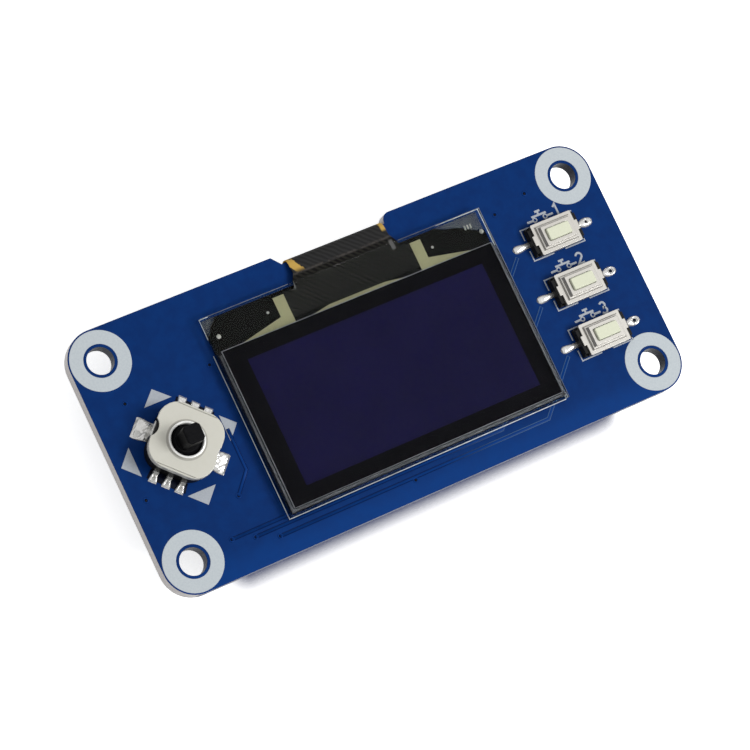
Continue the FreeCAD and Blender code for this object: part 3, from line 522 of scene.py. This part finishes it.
def ribbonFilm(name):
    look = {"film": (0.026, 0.026, 0.027), "cloudy": (0.03, 0.03, 0.028), "track": (0.013, 0.013, 0.013),
            "slant": -0.77, "pitch": 0.5, "bonded": (0.002, 0.002, 0.002), "streak": (0.017, 0.0165, 0.0135),
            "bond": (0, 12.2, 0.12), "crease": (0.085, 0.074, 0.066), "fold": (12.2, 12.42, 0.14),
            "amber": (0.56, 0.36, 0.085), "leftAmber": (12.6, 20, 0.35), "leftSlope": (0.55, -2.25),
            "ragged": 0.9, "leftHalf": (0.42, 0.58), "rightAmber": ((5.95, 6.6, 0.1), (13.2, 20, 0.2)),
            "outside": (0.6, 4, 0.3), "neckGlint": (0.16, 0.16, 0.16), "neckGlintY": (10.8, 11.9, 0.15),
            "neckGlints": ((-6.55, -6, 0.1), (6.05, 6.5, 0.1))}
    skin = Skin(name, look["film"], 0.55, specular=0.06)
    slant = skin.group(lineGroup, Angle=look["slant"], Pitch=look["pitch"], Waver=0.35)["Mask"]
    skin.tint(skin.group(grainGroup, Scale=1.1)["Tone"], look["cloudy"], 0.4)
    patchy = noiseNode(skin.tree, skin.vector, 2.3)
    skin.tint(slant, look["track"], 0.6)
    bond = skin.inside("Y", *look["bond"])
    skin.tint(bond, look["bonded"], 0.97)
    skin.tint(skin.times(bond, slant), look["streak"], 0.9)
    fold = skin.times(skin.inside("Y", *look["fold"]), skin.ramp(patchy, 0.3, 0.6))
    skin.tint(fold, look["crease"], 0.5)
    # Bare amber film: a ragged slanted patch at one edge of the bend, a small one at the other
    sway = skin.times(skin.math("SUBTRACT", patchy, 0.5), look["ragged"])
    shifted = skin.math("ADD", skin.math("MULTIPLY_ADD", skin.place["Y"], *look["leftSlope"]), sway)
    along = skin.math("ABSOLUTE", skin.math("ADD", skin.place["X"], shifted))
    left = skin.times(skin.ramp(along, *look["leftHalf"], 1, 0), skin.inside("Y", *look["leftAmber"]))
    right = skin.area(*look["rightAmber"])
    outside = skin.inside("Z", *look["outside"])
    for bare in (left, right):
        skin.tint(skin.times(bare, outside), look["amber"], 0.9)
    # Pale patches painted beside the neck of the ribbon, as painted glints
    for neckGlint in look["neckGlints"]:
        skin.tint(skin.area(neckGlint, look["neckGlintY"]), look["neckGlint"], 0.7)
    skin.roughen(slant, 0.5, 0.62)
    skin.raised(slant, 0.08, 0.008)
    return skin


def solder(name):
    look = {"tin": (0.88, 0.87, 0.85), "tinDeep": (0.7, 0.69, 0.67), "flux": (0.3, 0.27, 0.22)}
    skin = Skin(name, look["tin"], 0.24, metallic=0.75)
    skin.weathered(1.6, look["tinDeep"], 0.5, (0.16, 0.34), (0.1, 0.02), marks=0.4, marksColor=look["flux"])
    return skin


def coverSkin(name, color, second, roughness, angle):
    # Pressed sheet steel with a fine rolling direction and a dull tin skin.
    look = {"rubbed": (0.93, 0.92, 0.89), "marksTone": 0.75, "rolledPitch": 0.09}
    skin = Skin(name, color, roughness[0], metallic=0.45, specular=0.35)
    skin.worn(0.07, look["rubbed"], 0.7)
    skin.weathered(1.1, second, 0.6, roughness, (0.05, 0.006), marks=0.3,
                   marksColor=[look["marksTone"] * share for share in second])
    rolled = skin.group(lineGroup, Angle=angle, Pitch=look["rolledPitch"], Waver=0.3)["Mask"]
    skin.raised(rolled, 0.006, 0.001)
    return skin


def keyCoverSteel(name):
    # The steep slopes are painted darker than the level faces, as painted shade on them.
    look = {"steel": (0.6, 0.58, 0.54), "steelDeep": (0.53, 0.51, 0.47), "slope": (0.33, 0.315, 0.285)}
    skin = coverSkin(name, look["steel"], look["steelDeep"], (0.32, 0.44), 0)
    skin.tint(skin.group(sideGroup, Steep=0.72, Level=0.97)["Mask"], look["slope"], 0.6)
    return skin


def stickCoverSteel(name):
    # The rolled collar is painted bright, as a painted highlight, and a darker ring is painted at its foot, as
    # painted shade.
    look = {"steel": (0.62, 0.61, 0.545), "steelDeep": (0.58, 0.57, 0.5), "rolling": 0.785,
            "collar": (0.98, 0.98, 0.96), "collarRadii": (1.66, 2), "collarShare": 0.9,
            "foot": (0.24, 0.23, 0.21), "footRadii": (2.03, 2.22), "footShare": 0.6, "soft": 0.05}
    skin = coverSkin(name, look["steel"], look["steelDeep"], (0.28, 0.38), look["rolling"])
    skin.shader.inputs["Metallic"].default_value = 0.2
    offsets = [skin.math("SUBTRACT", skin.place[axis], middle)
               for axis, middle in zip("XY", middleOf(*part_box("stick_cover")))]
    radius = skin.distance(*offsets)
    for key in ("collar", "foot"):
        (inner, outer), soft = look[key + "Radii"], look["soft"]
        rise = skin.ramp(radius, inner - soft, inner + soft)
        ring = skin.times(rise, skin.ramp(radius, outer - soft, outer + soft, 1, 0))
        skin.tint(ring, look[key], look[key + "Share"])
    return skin


def veilSkin(name, color, second, opacity):
    skin = Skin(name, color, 0.3, specular=0.2, Alpha=opacity)
    skin.weathered(1.2, second, 0.6, (0.2, 0.4), (0.1, 0.01))
    return skin


def blackSkin(name, color, second, roughness, scale, specular=0.3, edge=None, bump=(0.25, 0.02)):
    skin = Skin(name, color, roughness[0], specular=specular)
    dust = [6 * share for share in second]
    if edge:
        skin.worn(edge, dust, 0.5)
    skin.weathered(scale, second, 0.7, roughness, bump, marksColor=dust)
    return skin


def metalSkin(name, color, second, roughness, edge=0.03, rubbedTone=1.25):
    skin = Skin(name, color, roughness[0], metallic=1)
    skin.worn(edge, [min(rubbedTone * share, 1) for share in color], 0.6)
    skin.weathered(3, second, 0.5, roughness, (0.15, 0.01), marks=0.4)
    return skin


def plasticSkin(name, color, second, roughness, scale, specular=0.4, edge=None, bump=(0.2, 0.012)):
    skin = Skin(name, color, roughness[0], specular=specular)
    if edge:
        skin.worn(edge, [min(1.15 * share + 0.02, 1) for share in color], 0.7)
    skin.weathered(scale, second, 0.6, roughness, bump)
    return skin


def printSkin(name, color, second):
    skin = Skin(name, color, 0.6, specular=0.2)
    skin.weathered(5, second, 0.6, (0.5, 0.75), (0.3, 0.01), marks=0.3, marksColor=(0.3, 0.34, 0.42))
    return skin


makers = {"trackShoulder": trackShoulder, "foamTape": foamTape, "clearGlass": clearGlass,
          "polarizerFilm": polarizerFilm, "pictureLayer": pictureLayer, "electrodeMetal": electrodeMetal,
          "ribbonFilm": ribbonFilm, "solder": solder, "keyCoverSteel": keyCoverSteel,
          "stickCoverSteel": stickCoverSteel}
# Per material of a family: color and second color, then opacity, or roughness from low to high, scale of
# the grain, specular share, width of the worn edge and bump
familyLooks = {
    veilSkin: {
        "glassVeil": ((0.19, 0.2, 0.195), (0.14, 0.15, 0.155), 0.32),
        "glassMargin": ((0.15, 0.155, 0.17), (0.06, 0.065, 0.08), 0.75)},
    printSkin: {
        "ringInk": ((0.5, 0.545, 0.57), (0.43, 0.475, 0.51)),
        "legendInk": ((0.4, 0.43, 0.47), (0.33, 0.36, 0.41)),
        "ledgeInk": ((0.42, 0.415, 0.39), (0.34, 0.335, 0.31))},
    metalSkin: {
        "springSteel": ((0.6, 0.59, 0.55), (0.48, 0.47, 0.44), (0.2, 0.35)),
        "tinnedLead": ((0.66, 0.66, 0.64), (0.52, 0.52, 0.5), (0.22, 0.4)),
        "contactGold": ((0.8, 0.58, 0.25), (0.68, 0.48, 0.2), (0.2, 0.36))},
    blackSkin: {
        "sealBlack": ((0.011, 0.011, 0.014), (0.017, 0.017, 0.02), (0.5, 0.7), 1.5, 0.05),
        "coatingBlack": ((0.0012, 0.0014, 0.0012), (0.0025, 0.0027, 0.0024), (0.45, 0.6), 2, 0.03, None,
                         (0.05, 0.005)),
        "chipBlack": ((0.022, 0.022, 0.024), (0.035, 0.035, 0.036), (0.3, 0.5), 6, 0.3, 0.04),
        "switchBlack": ((0.006, 0.006, 0.006), (0.012, 0.012, 0.012), (0.4, 0.62), 5, 0.15, 0.06),
        # A dark colour that stands in for shade, painted in via holes, solder pits and under the stick's leads
        "fluxStain": ((0.002, 0.003, 0.01), (0.004, 0.007, 0.022), (0.4, 0.7), 3, 0.1),
        "socketBlack": ((0.014, 0.014, 0.015), (0.024, 0.024, 0.025), (0.42, 0.62), 4, 0.3, 0.06)},
    plasticSkin: {
        # The first three are painted highlights for the edges of the glass and the film
        "groundEdge": ((0.86, 0.9, 0.92), (0.45, 0.5, 0.54), (0.4, 0.7), 1.2),
        "dimEdge": ((0.2, 0.22, 0.25), (0.07, 0.08, 0.1), (0.4, 0.7), 1.2),
        "filmEdge": ((0.4, 0.42, 0.45), (0.16, 0.17, 0.19), (0.4, 0.7), 0.9),
        "buttonCream": ((0.68, 0.7, 0.545), (0.63, 0.65, 0.5), (0.35, 0.5), 4, 0.25, 0.09),
        "stemBlack": ((0.004, 0.004, 0.005), (0.008, 0.008, 0.009), (0.4, 0.55), 4, 0.05, 0.1, (0.25, 0.02)),
        "capacitorCeramic": ((0.36, 0.25, 0.15), (0.28, 0.19, 0.11), (0.4, 0.6), 7, 0.4, 0.04),
        "resistorGlaze": ((0.015, 0.015, 0.018), (0.03, 0.03, 0.035), (0.25, 0.45), 7, 0.4, 0.04)},
}
materials = {"blueSolderMask": boardSkin("blueSolderMask", True).material,
             "maskRelief": boardSkin("maskRelief", False, 1.35).material}
for name, make in makers.items():
    materials[name] = make(name).material
for make, looks in familyLooks.items():
    for name, values in looks.items():
        materials[name] = make(name, *values).material

nodesOf = {
    "blueSolderMask": ["board"], "foamTape": ["display_tape"], "sealBlack": ["display_seal_frame"],
    "clearGlass": ["display_back_glass", "display_front_glass"], "pictureLayer": ["display_picture_layer"],
    "electrodeMetal": ["display_contact_strips"], "coatingBlack": ["display_ledge_coating"],
    "polarizerFilm": ["display_polarizer"], "ribbonFilm": ["display_ribbon"],
    "chipBlack": ["display_driver_chip"], "switchBlack": ["stick_base", "stick_tilt_ring", "stick_rocker"],
    "stickCoverSteel": ["stick_cover"], "keyCoverSteel": [], "stemBlack": ["stick_stem"], "buttonCream": [],
    "springSteel": ["stick_centre_dome", "stick_side_contacts"],
    "tinnedLead": ["stick_leads", "stick_anchor_tabs"], "socketBlack": ["socket_housing"],
    "contactGold": ["socket_contacts"], "capacitorCeramic": ["capacitor_bodies"],
    "resistorGlaze": ["resistor_bodies"],
    "solder": ["display_ribbon_solder", "stick_solder", "capacitor_ends", "resistor_ends"],
}
keyParts = {"base": "switchBlack", "cover": "keyCoverSteel", "button": "buttonCream", "dome": "springSteel",
            "feet": "tinnedLead", "solder": "solder"}
for part, material in keyParts.items():
    nodesOf[material] += [f"key_{number}_{part}" for number in (1, 2, 3)]
for material, names in nodesOf.items():
    for name in names:
        nodes[name].data.materials.clear()
        nodes[name].data.materials.append(materials[material])

# Touching faces under clear glass: a lift of some thousandths of a millimetre keeps them apart
filmGaps = {"display_tape": -0.004, "display_front_glass": 0.004, "display_polarizer": 0.008}
for name, gap in filmGaps.items():
    lift = nodes[name].modifiers.new("filmGap", "DISPLACE")
    lift.direction = "Z"
    lift.mid_level = 0
    lift.strength = gap * mm
print("stage: materials on", sum(len(names) for names in nodesOf.values()), "nodes")


# Printed marks

# The frame round a key stands off its base at the left, the right and both ends, and has gaps beside it
printLook = {"height": 0.02, "line": 0.15, "stroke": 0.25, "strokeStep": 0.002, "ringOuter": 3.335,
             "ringInner": 1.83, "ringSlope": 0.02, "legendX": 24.15, "legendY": (8.33, 2.23, -3.85),
             "digitX": 26.4, "frame": (0.22, 0.28, 0.2, 0.62), "frameArm": 2.6}
triangles = [((-26.85, 5.2), (-23.6, 5.2), (-25.25, 6.75)), ((-26.6, -5.05), (-24.9, -6.75), (-23.25, -5.05)),
             ((-30.2, 2), (-31.85, 0.3), (-30.2, -1.35)), ((-19.75, 1.5), (-19.75, -1.5), (-18.25, 0.05))]


# The usual sign of a push contact, as points round the middle of its key: two terminals, a bridge
# above them and its plunger, and rings on the terminals. Then the strokes of the digits.
signLook = {"strips": (((-1.7, -0.28), (-0.92, -0.28)), ((0.92, -0.28), (1.7, -0.28)),
                       ((-0.95, 0.14), (0.95, 0.14)), ((0, 0.14), (0, 0.6)), ((-0.34, 0.6), (0.34, 0.6))),
            "rings": ((-0.68, -0.28), (0.68, -0.28)), "ringRadius": 0.23, "ringLine": 0.16, "ringDrop": 0.003}
digitStrokes = {1: [[(-0.28, 0.3575), (0.06, 0.65), (0.06, -0.65)]],
                2: [arcPath(0, 0.2925, 0.3575, 165, -30, 12), [(-0.36, -0.57), (0.42, -0.57)]],
                3: [arcPath(-0.03, 0.325, 0.325, 150, -80, 11), arcPath(-0.03, -0.299, 0.351, 80, -150, 12)]}


def legendParts(number, y):
    # Each strip is a little higher than the last, so that no two tops share a face where they cross.
    look, z, height = signLook, boardTop, printLook["height"]
    paths = [np.add(strip, (printLook["legendX"], y)) for strip in look["strips"]]
    paths.append(np.vstack(digitStrokes[number]) + (printLook["digitX"], y))
    parts = [stripPart(path, printLook["stroke"], z, height + printLook["strokeStep"] * i)
             for i, path in enumerate(paths)]
    for x, up in look["rings"]:
        ring = arcPath(printLook["legendX"] + x, y + up, look["ringRadius"], 0, 345, 24)
        parts.append(stripPart(ring, look["ringLine"], z, height - look["ringDrop"], closed=True))
    return parts


def printedMarks():
    look, z, height = printLook, boardTop, printLook["height"]
    parts = [patchPart(corners, z, height) for corners in triangles]
    rings = []
    inner, outer, slope = look["ringInner"], look["ringOuter"], look["ringSlope"]
    for x, y in [(x, y) for x in (-holeX, holeX) for y in (-holeY, holeY)]:
        for level, rise in ((z, height), (0, -height)):
            profile = [(inner, 0), (inner + slope, rise), (outer - slope, rise), (outer, 0)]
            rings.append(turnedPart(profile, (x, y, level), 64, wrapRows=True))
    left, right, ends, gap = look["frame"]
    for number, y in zip((1, 2, 3), look["legendY"]):
        parts += legendParts(number, y)
        low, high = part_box(f"key_{number}_base")
        y0, y1 = low.y / mm - ends, high.y / mm + ends
        middle = (y0 + y1) / 2
        for x, arm in ((low.x / mm - left, look["frameArm"]), (high.x / mm + right, -look["frameArm"])):
            for end, stop in ((y0, middle - gap), (y1, middle + gap)):
                parts.append(stripPart([(x + arm, end), (x, end), (x, stop)], look["line"], z, height))
    makePiece("boardPrint", parts, "legendInk", smooth=False)
    makePiece("holeRings", rings, "ringInk", smooth=False)


# Copper tracks and vias under the solder mask

trackLook = {"width": 0.34, "height": 0.03, "bevel": 0.35, "shoulder": 0.09, "shoulderDrop": 0.004,
             "viaRadius": 0.32, "viaHole": 0.17, "viaRise": 1.2, "viaSlopes": (0.04, 0.06), "boreHeight": 0.006}
trackPaths = [
    [(-24.2, -11), (3.6, -11), (19.5, 4.9)],
    [(-21.7, -11.75), (8.95, -11.75), (19.55, -1.15)],
    [(-19.2, -12.7), (14.5, -12.7), (19.9, -7.3)],
    [(-19.5, -0.2), (-19.5, -4.9), (-21.5, -7.1)],
]
viaPlaces = [path[0] for path in trackPaths[:3]] + [
    (-30.87, -3.78), (-21.5, -7.1), (-28.57, 6.35), (-2.7, -13), (23.7, 11.26), (19.3, 10.3), (-18.3, 6.8)]


def shoulderPart(path):
    # A thin line round a track: the path moved half a track's width to one side and back on the other.
    path = np.asarray(path, float)
    side = mitredSides(path) * trackLook["width"] / 2
    loop = np.vstack([path + side, (path - side)[::-1]])
    height = trackLook["height"] - trackLook["shoulderDrop"]
    return stripPart(loop, trackLook["shoulder"], boardTop, height, closed=True)


def tracksAndVias():
    look = trackLook
    height, outer, inner = look["height"], look["viaRadius"], look["viaHole"]
    rise, (inSlope, outSlope) = height * look["viaRise"], look["viaSlopes"]
    tracks = [stripPart(path, look["width"], boardTop, height, bevel=look["bevel"]) for path in trackPaths]
    makePiece("trackShoulders", [shoulderPart(path) for path in trackPaths], "trackShoulder")
    profile = [(inner, 0), (inner + inSlope, rise), (outer - outSlope, rise), (outer, 0)]
    places = [(x, y, boardTop) for x, y in viaPlaces]
    rings = [turnedPart(profile, place, 20, wrapRows=True) for place in places]
    # The via bores are dark discs, painted shade in the holes
    bores = [turnedPart(plateProfile(inner, look["boreHeight"]), place, 20) for place in places]
    makePiece("boardTracks", tracks, "maskRelief")
    makePiece("boardVias", rings, "maskRelief")
    makePiece("viaBores", bores, "fluxStain")


# Solder. Stations are (x, half width, height), a pit is (x, y, radius, depth).

keySolderLook = {
    "left": [(-0.05, 0.24, 0.22), (0.3, 0.27, 0.3), (0.8, 0.37, 0.35), (1.3, 0.46, 0.35), (1.75, 0.46, 0.29),
             (2, 0.32, 0.17), (2.12, 0.1, 0.03)],
    "right": [(-0.05, 0.26, 0.22), (0.3, 0.3, 0.28), (0.6, 0.4, 0.33), (0.95, 0.53, 0.36), (1.4, 0.55, 0.36),
              (1.8, 0.47, 0.3), (2.05, 0.3, 0.16), (2.15, 0.08, 0.03)],
    "pits": {1: (1.3, 0.05, 0.15, 0.5), 2: (1.42, 0, 0.24, 0.7), 3: (1.42, 0, 0.24, 0.7)},
    "lumps": 0.03, "pitShadeShare": 0.85, "pitShadeLevel": 0.16, "pitShadeHeight": 0.02}
stickSolderLook = {
    "leadRows": ((45, 5.14, 0.35), (225, 4.84, 0.75)), "leadPlaces": (-1.5, 0, 1.5), "lumps": 0.03,
    "lead": [(3.5, 0.29, 0.36), (3.9, 0.33, 0.46), (4.25, 0.42, 0.4)],
    "end": ((-0.2, 0.49, 0.27), (0, 0.46, 0.04)),
    "shadeNear": (3.45, 2.1), "shadeFar": (-0.25, 2.2), "shadeHeight": 0.012,
    "tabs": ((135, (4.75, 0.62, 0.3, 0.42)), (315, None)), "tabGroove": 0.3, "tabLumps": 0.12,
    "tab": [(3.6, 0.95, 0.34), (3.95, 1.1, 0.52), (4.5, 1.2, 0.42), (5.1, 1.22, 0.27), (5.33, 1.12, 0.04)]}


def keySolder(number):
    look = keySolderLook
    low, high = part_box(f"key_{number}_base")
    y = middleOf(low, high)[1]
    pit = look["pits"][number]
    parts = [solderPart(look["left"], (low.x / mm, y), 180, boardTop, along=56, seed=number, lumps=look["lumps"]),
             solderPart(look["right"], (high.x / mm, y), 0, boardTop, across=41, along=64, dimple=pit,
                        seed=number + 4, lumps=look["lumps"])]
    piece = makePiece(f"keySolder{number}", parts, "solder")
    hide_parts(f"key_{number}_solder")
    # A dark disc painted at the bottom of the pit, on top of the foot, as painted shade in the pit
    place = (high.x / mm + pit[0], y + pit[1], boardTop + look["pitShadeLevel"])
    bottom = turnedPart(plateProfile(pit[2] * look["pitShadeShare"], look["pitShadeHeight"]), place, 20)
    makePiece(f"solderPit{number}", [bottom], "fluxStain")


def stickSolder():
    look = stickSolderLook
    centre = middleOf(*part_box("stick_leads"))
    parts, shadePatches = [], []
    (near, nearHalf), (inset, farHalf) = look["shadeNear"], look["shadeFar"]
    # Under each row of leads a dark patch is painted on the board, as painted shade between the leads
    for turn, reach, groove in look["leadRows"]:
        cos, sin, far = np.cos(np.radians(turn)), np.sin(np.radians(turn)), reach + inset
        shadePatch = np.array([(near, -nearHalf), (far, -farHalf), (far, farHalf), (near, nearHalf)])
        shadePatches.append(patchPart(shadePatch @ [(cos, sin), (-sin, cos)] + centre, boardTop, look["shadeHeight"]))
        lead = look["lead"] + [(reach + x, half, height) for x, half, height in look["end"]]
        for row in look["leadPlaces"]:
            origin = (centre[0] - row * sin, centre[1] + row * cos)
            parts.append(solderPart(lead, origin, turn, boardTop, across=33, groove=groove,
                                    lumps=look["lumps"], seed=turn + row))
    for turn, pit in look["tabs"]:
        parts.append(solderPart(look["tab"], centre, turn, boardTop, across=49, along=56, dimple=pit,
                                groove=look["tabGroove"], lumps=look["tabLumps"], seed=turn))
    piece = makePiece("stickSolder", parts, "solder")
    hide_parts("stick_solder")
    makePiece("leadShadePatches", shadePatches, "fluxStain")


# Snap discs under the stick and the keys, built in their domed resting shape

discLook = {"crown": 0.45, "sheet": 0.08, "gapAbove": 0.02, "clearance": 0.01, "stickTravel": 0.2,
            "keyTravel": 0.25}


def snapDisc(name, node):
    # Radius falls from the rim to the crown in equal steps s; height = full height * (3 s^2 - 2 s^3).
    low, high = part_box(node)
    radius, height = (high.x - low.x) / 2 / mm, (high.z - low.z) / mm
    sheet, crown = discLook["sheet"], discLook["crown"] * radius
    s = np.linspace(1, 0, 12)
    rise = s * s * (3 - 2 * s)
    reach = radius - (radius - crown) * s
    upper = np.stack([reach, height * rise], axis=1)
    lower = np.stack([reach - sheet, (height - sheet) * rise], axis=1)[::-1]
    profile = np.vstack([[(0, height)], upper, lower, [(0, height - sheet)]])
    centre = (*middleOf(low, high), low.z / mm)
    piece = makePiece(name, [turnedPart(profile, centre, 48)], "springSteel")
    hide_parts(node)
    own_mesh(piece)


# Small marks in the display's ledge, between the black coating and the glass. Veils hang on the upper
# corners of the coating, left (0) or right (1), and the shoulder on its right end.

ledgeLook = {
    "below": 0.03, "height": 0.02, "bars": (14.95, 15.3, 15.65), "bar": ((0, 9.8), (0.05, 10.3)), "barWidth": 0.2,
    "dots": ((-10.15, 9.5, 0.15), (10.45, 9.42, 0.15), (-16.3, 9.1, 0.25), (16.6, 9.02, 0.25)),
    "veils": ((1, ((0, 0), (-6, 0), (0, -3))), (0, ((0, 0), (0, -2.2), (2, 0)))),
    "over": 0.1, "veilBelow": 0.05, "shoulder": ((-0.7, 7.6), (0.05, 7.6), (0.05, 8.75), (-0.7, 9.15)),
    "shoulderUp": 0.03, "shoulderHeight": 0.015}


def ledgeMarks():
    look, height = ledgeLook, ledgeLook["height"]
    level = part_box("display_front_glass")[0].z / mm - look["below"]
    parts = [turnedPart(plateProfile(radius, height), (x, y, level), 24) for x, y, radius in look["dots"]]
    parts += [stripPart(np.add(look["bar"], (x, 0)), look["barWidth"], level, height) for x in look["bars"]]
    makePiece("ledgeMarks", parts, "ledgeInk")
    # Faint veil in the clear corners of the ledge, just under the coating's level
    low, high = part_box("display_ledge_coating")
    ends, top = (low.x / mm - look["over"], high.x / mm + look["over"]), high.y / mm + look["over"]
    under = low.z / mm - look["veilBelow"]
    veils = [patchPart(np.add(corners, (ends[end], top)), under, height) for end, corners in look["veils"]]
    makePiece("clearCorners", veils, "glassVeil")
    # The coating runs out to the right-hand edge of the glass below its rounded shoulder
    outline, level = np.add(look["shoulder"], (ends[1], 0)), under + look["shoulderUp"]
    makePiece("coatingShoulder", [patchPart(outline, level, look["shoulderHeight"])], "coatingBlack")


# Thin pale strips along the edges of the glass and the cut edge of the film, painted as highlights where the
# edges catch the light, and a grey band just outside the film. Per
# piece: material, slot and lines. Per line: the node it follows, the node and side (0 low, 1 high)
# that its height is measured from and the step up from there, its inset, width and height (or, below
# 0, what it lacks of the node's height), and its corners.

front, back, film = "display_front_glass", "display_back_glass", "display_polarizer"
edgeLook = {
    "glassTopHighlights": ("dimEdge", "panel_glass", [
        (front, front, 1, -0.06, 0.03, 0.07, 0.06, ((0, 1), (-6.9, None))),
        (front, front, 1, -0.06, 0.03, 0.07, 0.06, ((1, 0), (1, 1), (6.9, None)))]),
    "glassRimHighlights": ("groundEdge", "panel_glass", [
        (front, front, 0, 0.01, 0.02, 0.08, 0.06, ((0, 0.9), (0, 1), (-16.5, None))),
        (front, front, 0, 0.01, 0.02, 0.08, 0.06, ((1, 0), (1, 1), (11.9, None))),
        (back, back, 0, 0.02, 0, 0.1, 0.1, ((0, 1), (0, 0), (1, 0), (1, 1)))]),
    "filmRimHighlights": ("filmEdge", "polarizer", [
        (film, film, 0, 0.02, 0, 0.06, -0.015, ((0, 0), (1, 0), (1, 1), (0, 1), (0, 0)))]),
    "glassMargins": ("glassMargin", "panel_glass", [
        (film, front, 1, -0.035, -0.24, 0.36, 0.02, ((0, 0.97), (0, 0), (1, 0), (1, 0.97)))]),
}


def edgeLine(name, measured, side, up, inset, width, height, corners):
    # A band along the edge of a node's box. Corners are (share across, share along Y), or (place, None)
    # for a point at that x on the upper edge.
    low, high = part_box(name)
    x0, y0, x1, y1 = low.x / mm + inset, low.y / mm + inset, high.x / mm - inset, high.y / mm - inset
    path = [(x, y1) if y is None else (x0 + x * (x1 - x0), y0 + y * (y1 - y0)) for x, y in corners]
    if height < 0:
        height += (high.z - low.z) / mm
    return stripPart(path, width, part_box(measured)[side].z / mm + up, height, bevel=0.4)


def paleEdges():
    for name, (material, slotName, lines) in edgeLook.items():
        makePiece(name, [edgeLine(*line) for line in lines], material)


printedMarks()
tracksAndVias()
for number in (1, 2, 3):
    keySolder(number)
stickSolder()
snapDisc("stickDisc", "stick_centre_dome")
for number in (1, 2, 3):
    snapDisc(f"keyDisc{number}", f"key_{number}_dome")
ledgeMarks()
paleEdges()
print("stage: printed marks, tracks and solder made")


# Stage, camera and light

stageLook = {"floorColor": (0.86, 0.86, 0.86), "floorGlow": 0.7, "floorHalf": 3000, "floorDrop": 0.02,
             "contactColor": (0.022, 0.033, 0.13), "contactReach": 4, "contactSamples": 16,
             "contactFrom": 0.53, "contactEnds": (-23.5, 26.2, 2),
             "skyLow": 0.2, "skyHigh": 0.72, "skyLimits": (0.1, 0.85),
             "keyPower": 2.3, "keyPlace": (0.3, -0.2, 0.46), "keySize": 0.24}
cameraLook = {"place": (-0.12271, -0.035206, 0.290998), "turn": (15.5679, -17.7962, -26.5362), "lens": 141.693,
              "sensor": 36, "clip": (0.01, 20)}


def seenRays(tree):
    # 1 for camera, glossy and transmission rays, which see the stage as white.
    path = newNode(tree, "LightPath", {})
    total = mathNode(tree, "MAXIMUM", path["Is Camera Ray"], path["Is Glossy Ray"])
    return mathNode(tree, "MAXIMUM", total, path["Is Transmission Ray"])


def makeFloor():
    look = stageLook
    half, level = look["floorHalf"], cadBounds[0].z / mm - look["floorDrop"]
    steps = np.linspace(-half, half, 3)
    x, y = np.meshgrid(steps, steps, indexing="ij")
    vertices, quads = gridPart(np.stack([x, y, np.full_like(x, level)], axis=2), wrapColumns=False)
    mesh = bpy.data.meshes.new("studioFloor")
    mesh.from_pydata((vertices * mm).tolist(), [], quads[:, ::-1].tolist())
    floor = newObject("studioFloor", mesh)
    skin = Skin("palePaper", look["floorColor"], 0.9, specular=0)
    skin.shader.inputs["Emission Color"].default_value = (1, 1, 1, 1)
    # A close dark shadow along the socket strip, which stands on the floor
    near = newNode(skin.tree, "AmbientOcclusion", {"Distance": look["contactReach"] * mm},
                   samples=look["contactSamples"])["AO"]
    shut = skin.ramp(near, look["contactFrom"], 1, 1, 0)
    shut = skin.times(shut, skin.inside("X", *look["contactEnds"]))
    skin.tint(shut, look["contactColor"])
    seen = skin.times(seenRays(skin.tree), skin.math("SUBTRACT", 1, shut))
    glow = skin.times(seen, look["floorGlow"])
    skin.link(glow, "Emission Strength")
    mesh.materials.append(skin.material)


def makeWorld():
    # A soft room that is brighter overhead than at the sides; the camera sees it white.
    world = bpy.data.worlds.new("softRoom")
    world.use_nodes = True
    tree = world.node_tree
    background = tree.nodes["Background"]
    background.inputs["Color"].default_value = (1, 1, 1, 1)
    up = splitNode(tree, newNode(tree, "TexCoord", {})["Generated"])["Z"]
    sky = rangeNode(tree, up, *stageLook["skyLimits"], stageLook["skyLow"], stageLook["skyHigh"])
    seen = newNode(tree, "LightPath", {})["Is Camera Ray"]
    tree.links.new(mathNode(tree, "MAXIMUM", sky, seen), background.inputs["Strength"])
    bpy.context.scene.world = world


def makeLamp(name, place, size, power):
    lamp = bpy.data.lights.new(name, "AREA")
    lamp.size = size
    lamp.energy = power
    thing = newObject(name, lamp)
    thing.location = place
    thing.rotation_euler = (-thing.location).to_track_quat("-Z", "Y").to_euler()


def makeCamera():
    camera = bpy.data.cameras.new("camera")
    camera.lens = cameraLook["lens"]
    camera.sensor_width = cameraLook["sensor"]
    camera.clip_start, camera.clip_end = cameraLook["clip"]
    holder = newObject("camera", camera)
    holder.location = cameraLook["place"]
    holder.rotation_euler = np.radians(cameraLook["turn"]).tolist()
    bpy.context.scene.camera = holder


makeFloor()
makeWorld()
makeLamp("keyLamp", stageLook["keyPlace"], stageLook["keySize"], stageLook["keyPower"])
makeCamera()
bpy.context.scene.view_settings.view_transform = "Standard"
print("stage: floor, light and camera set")
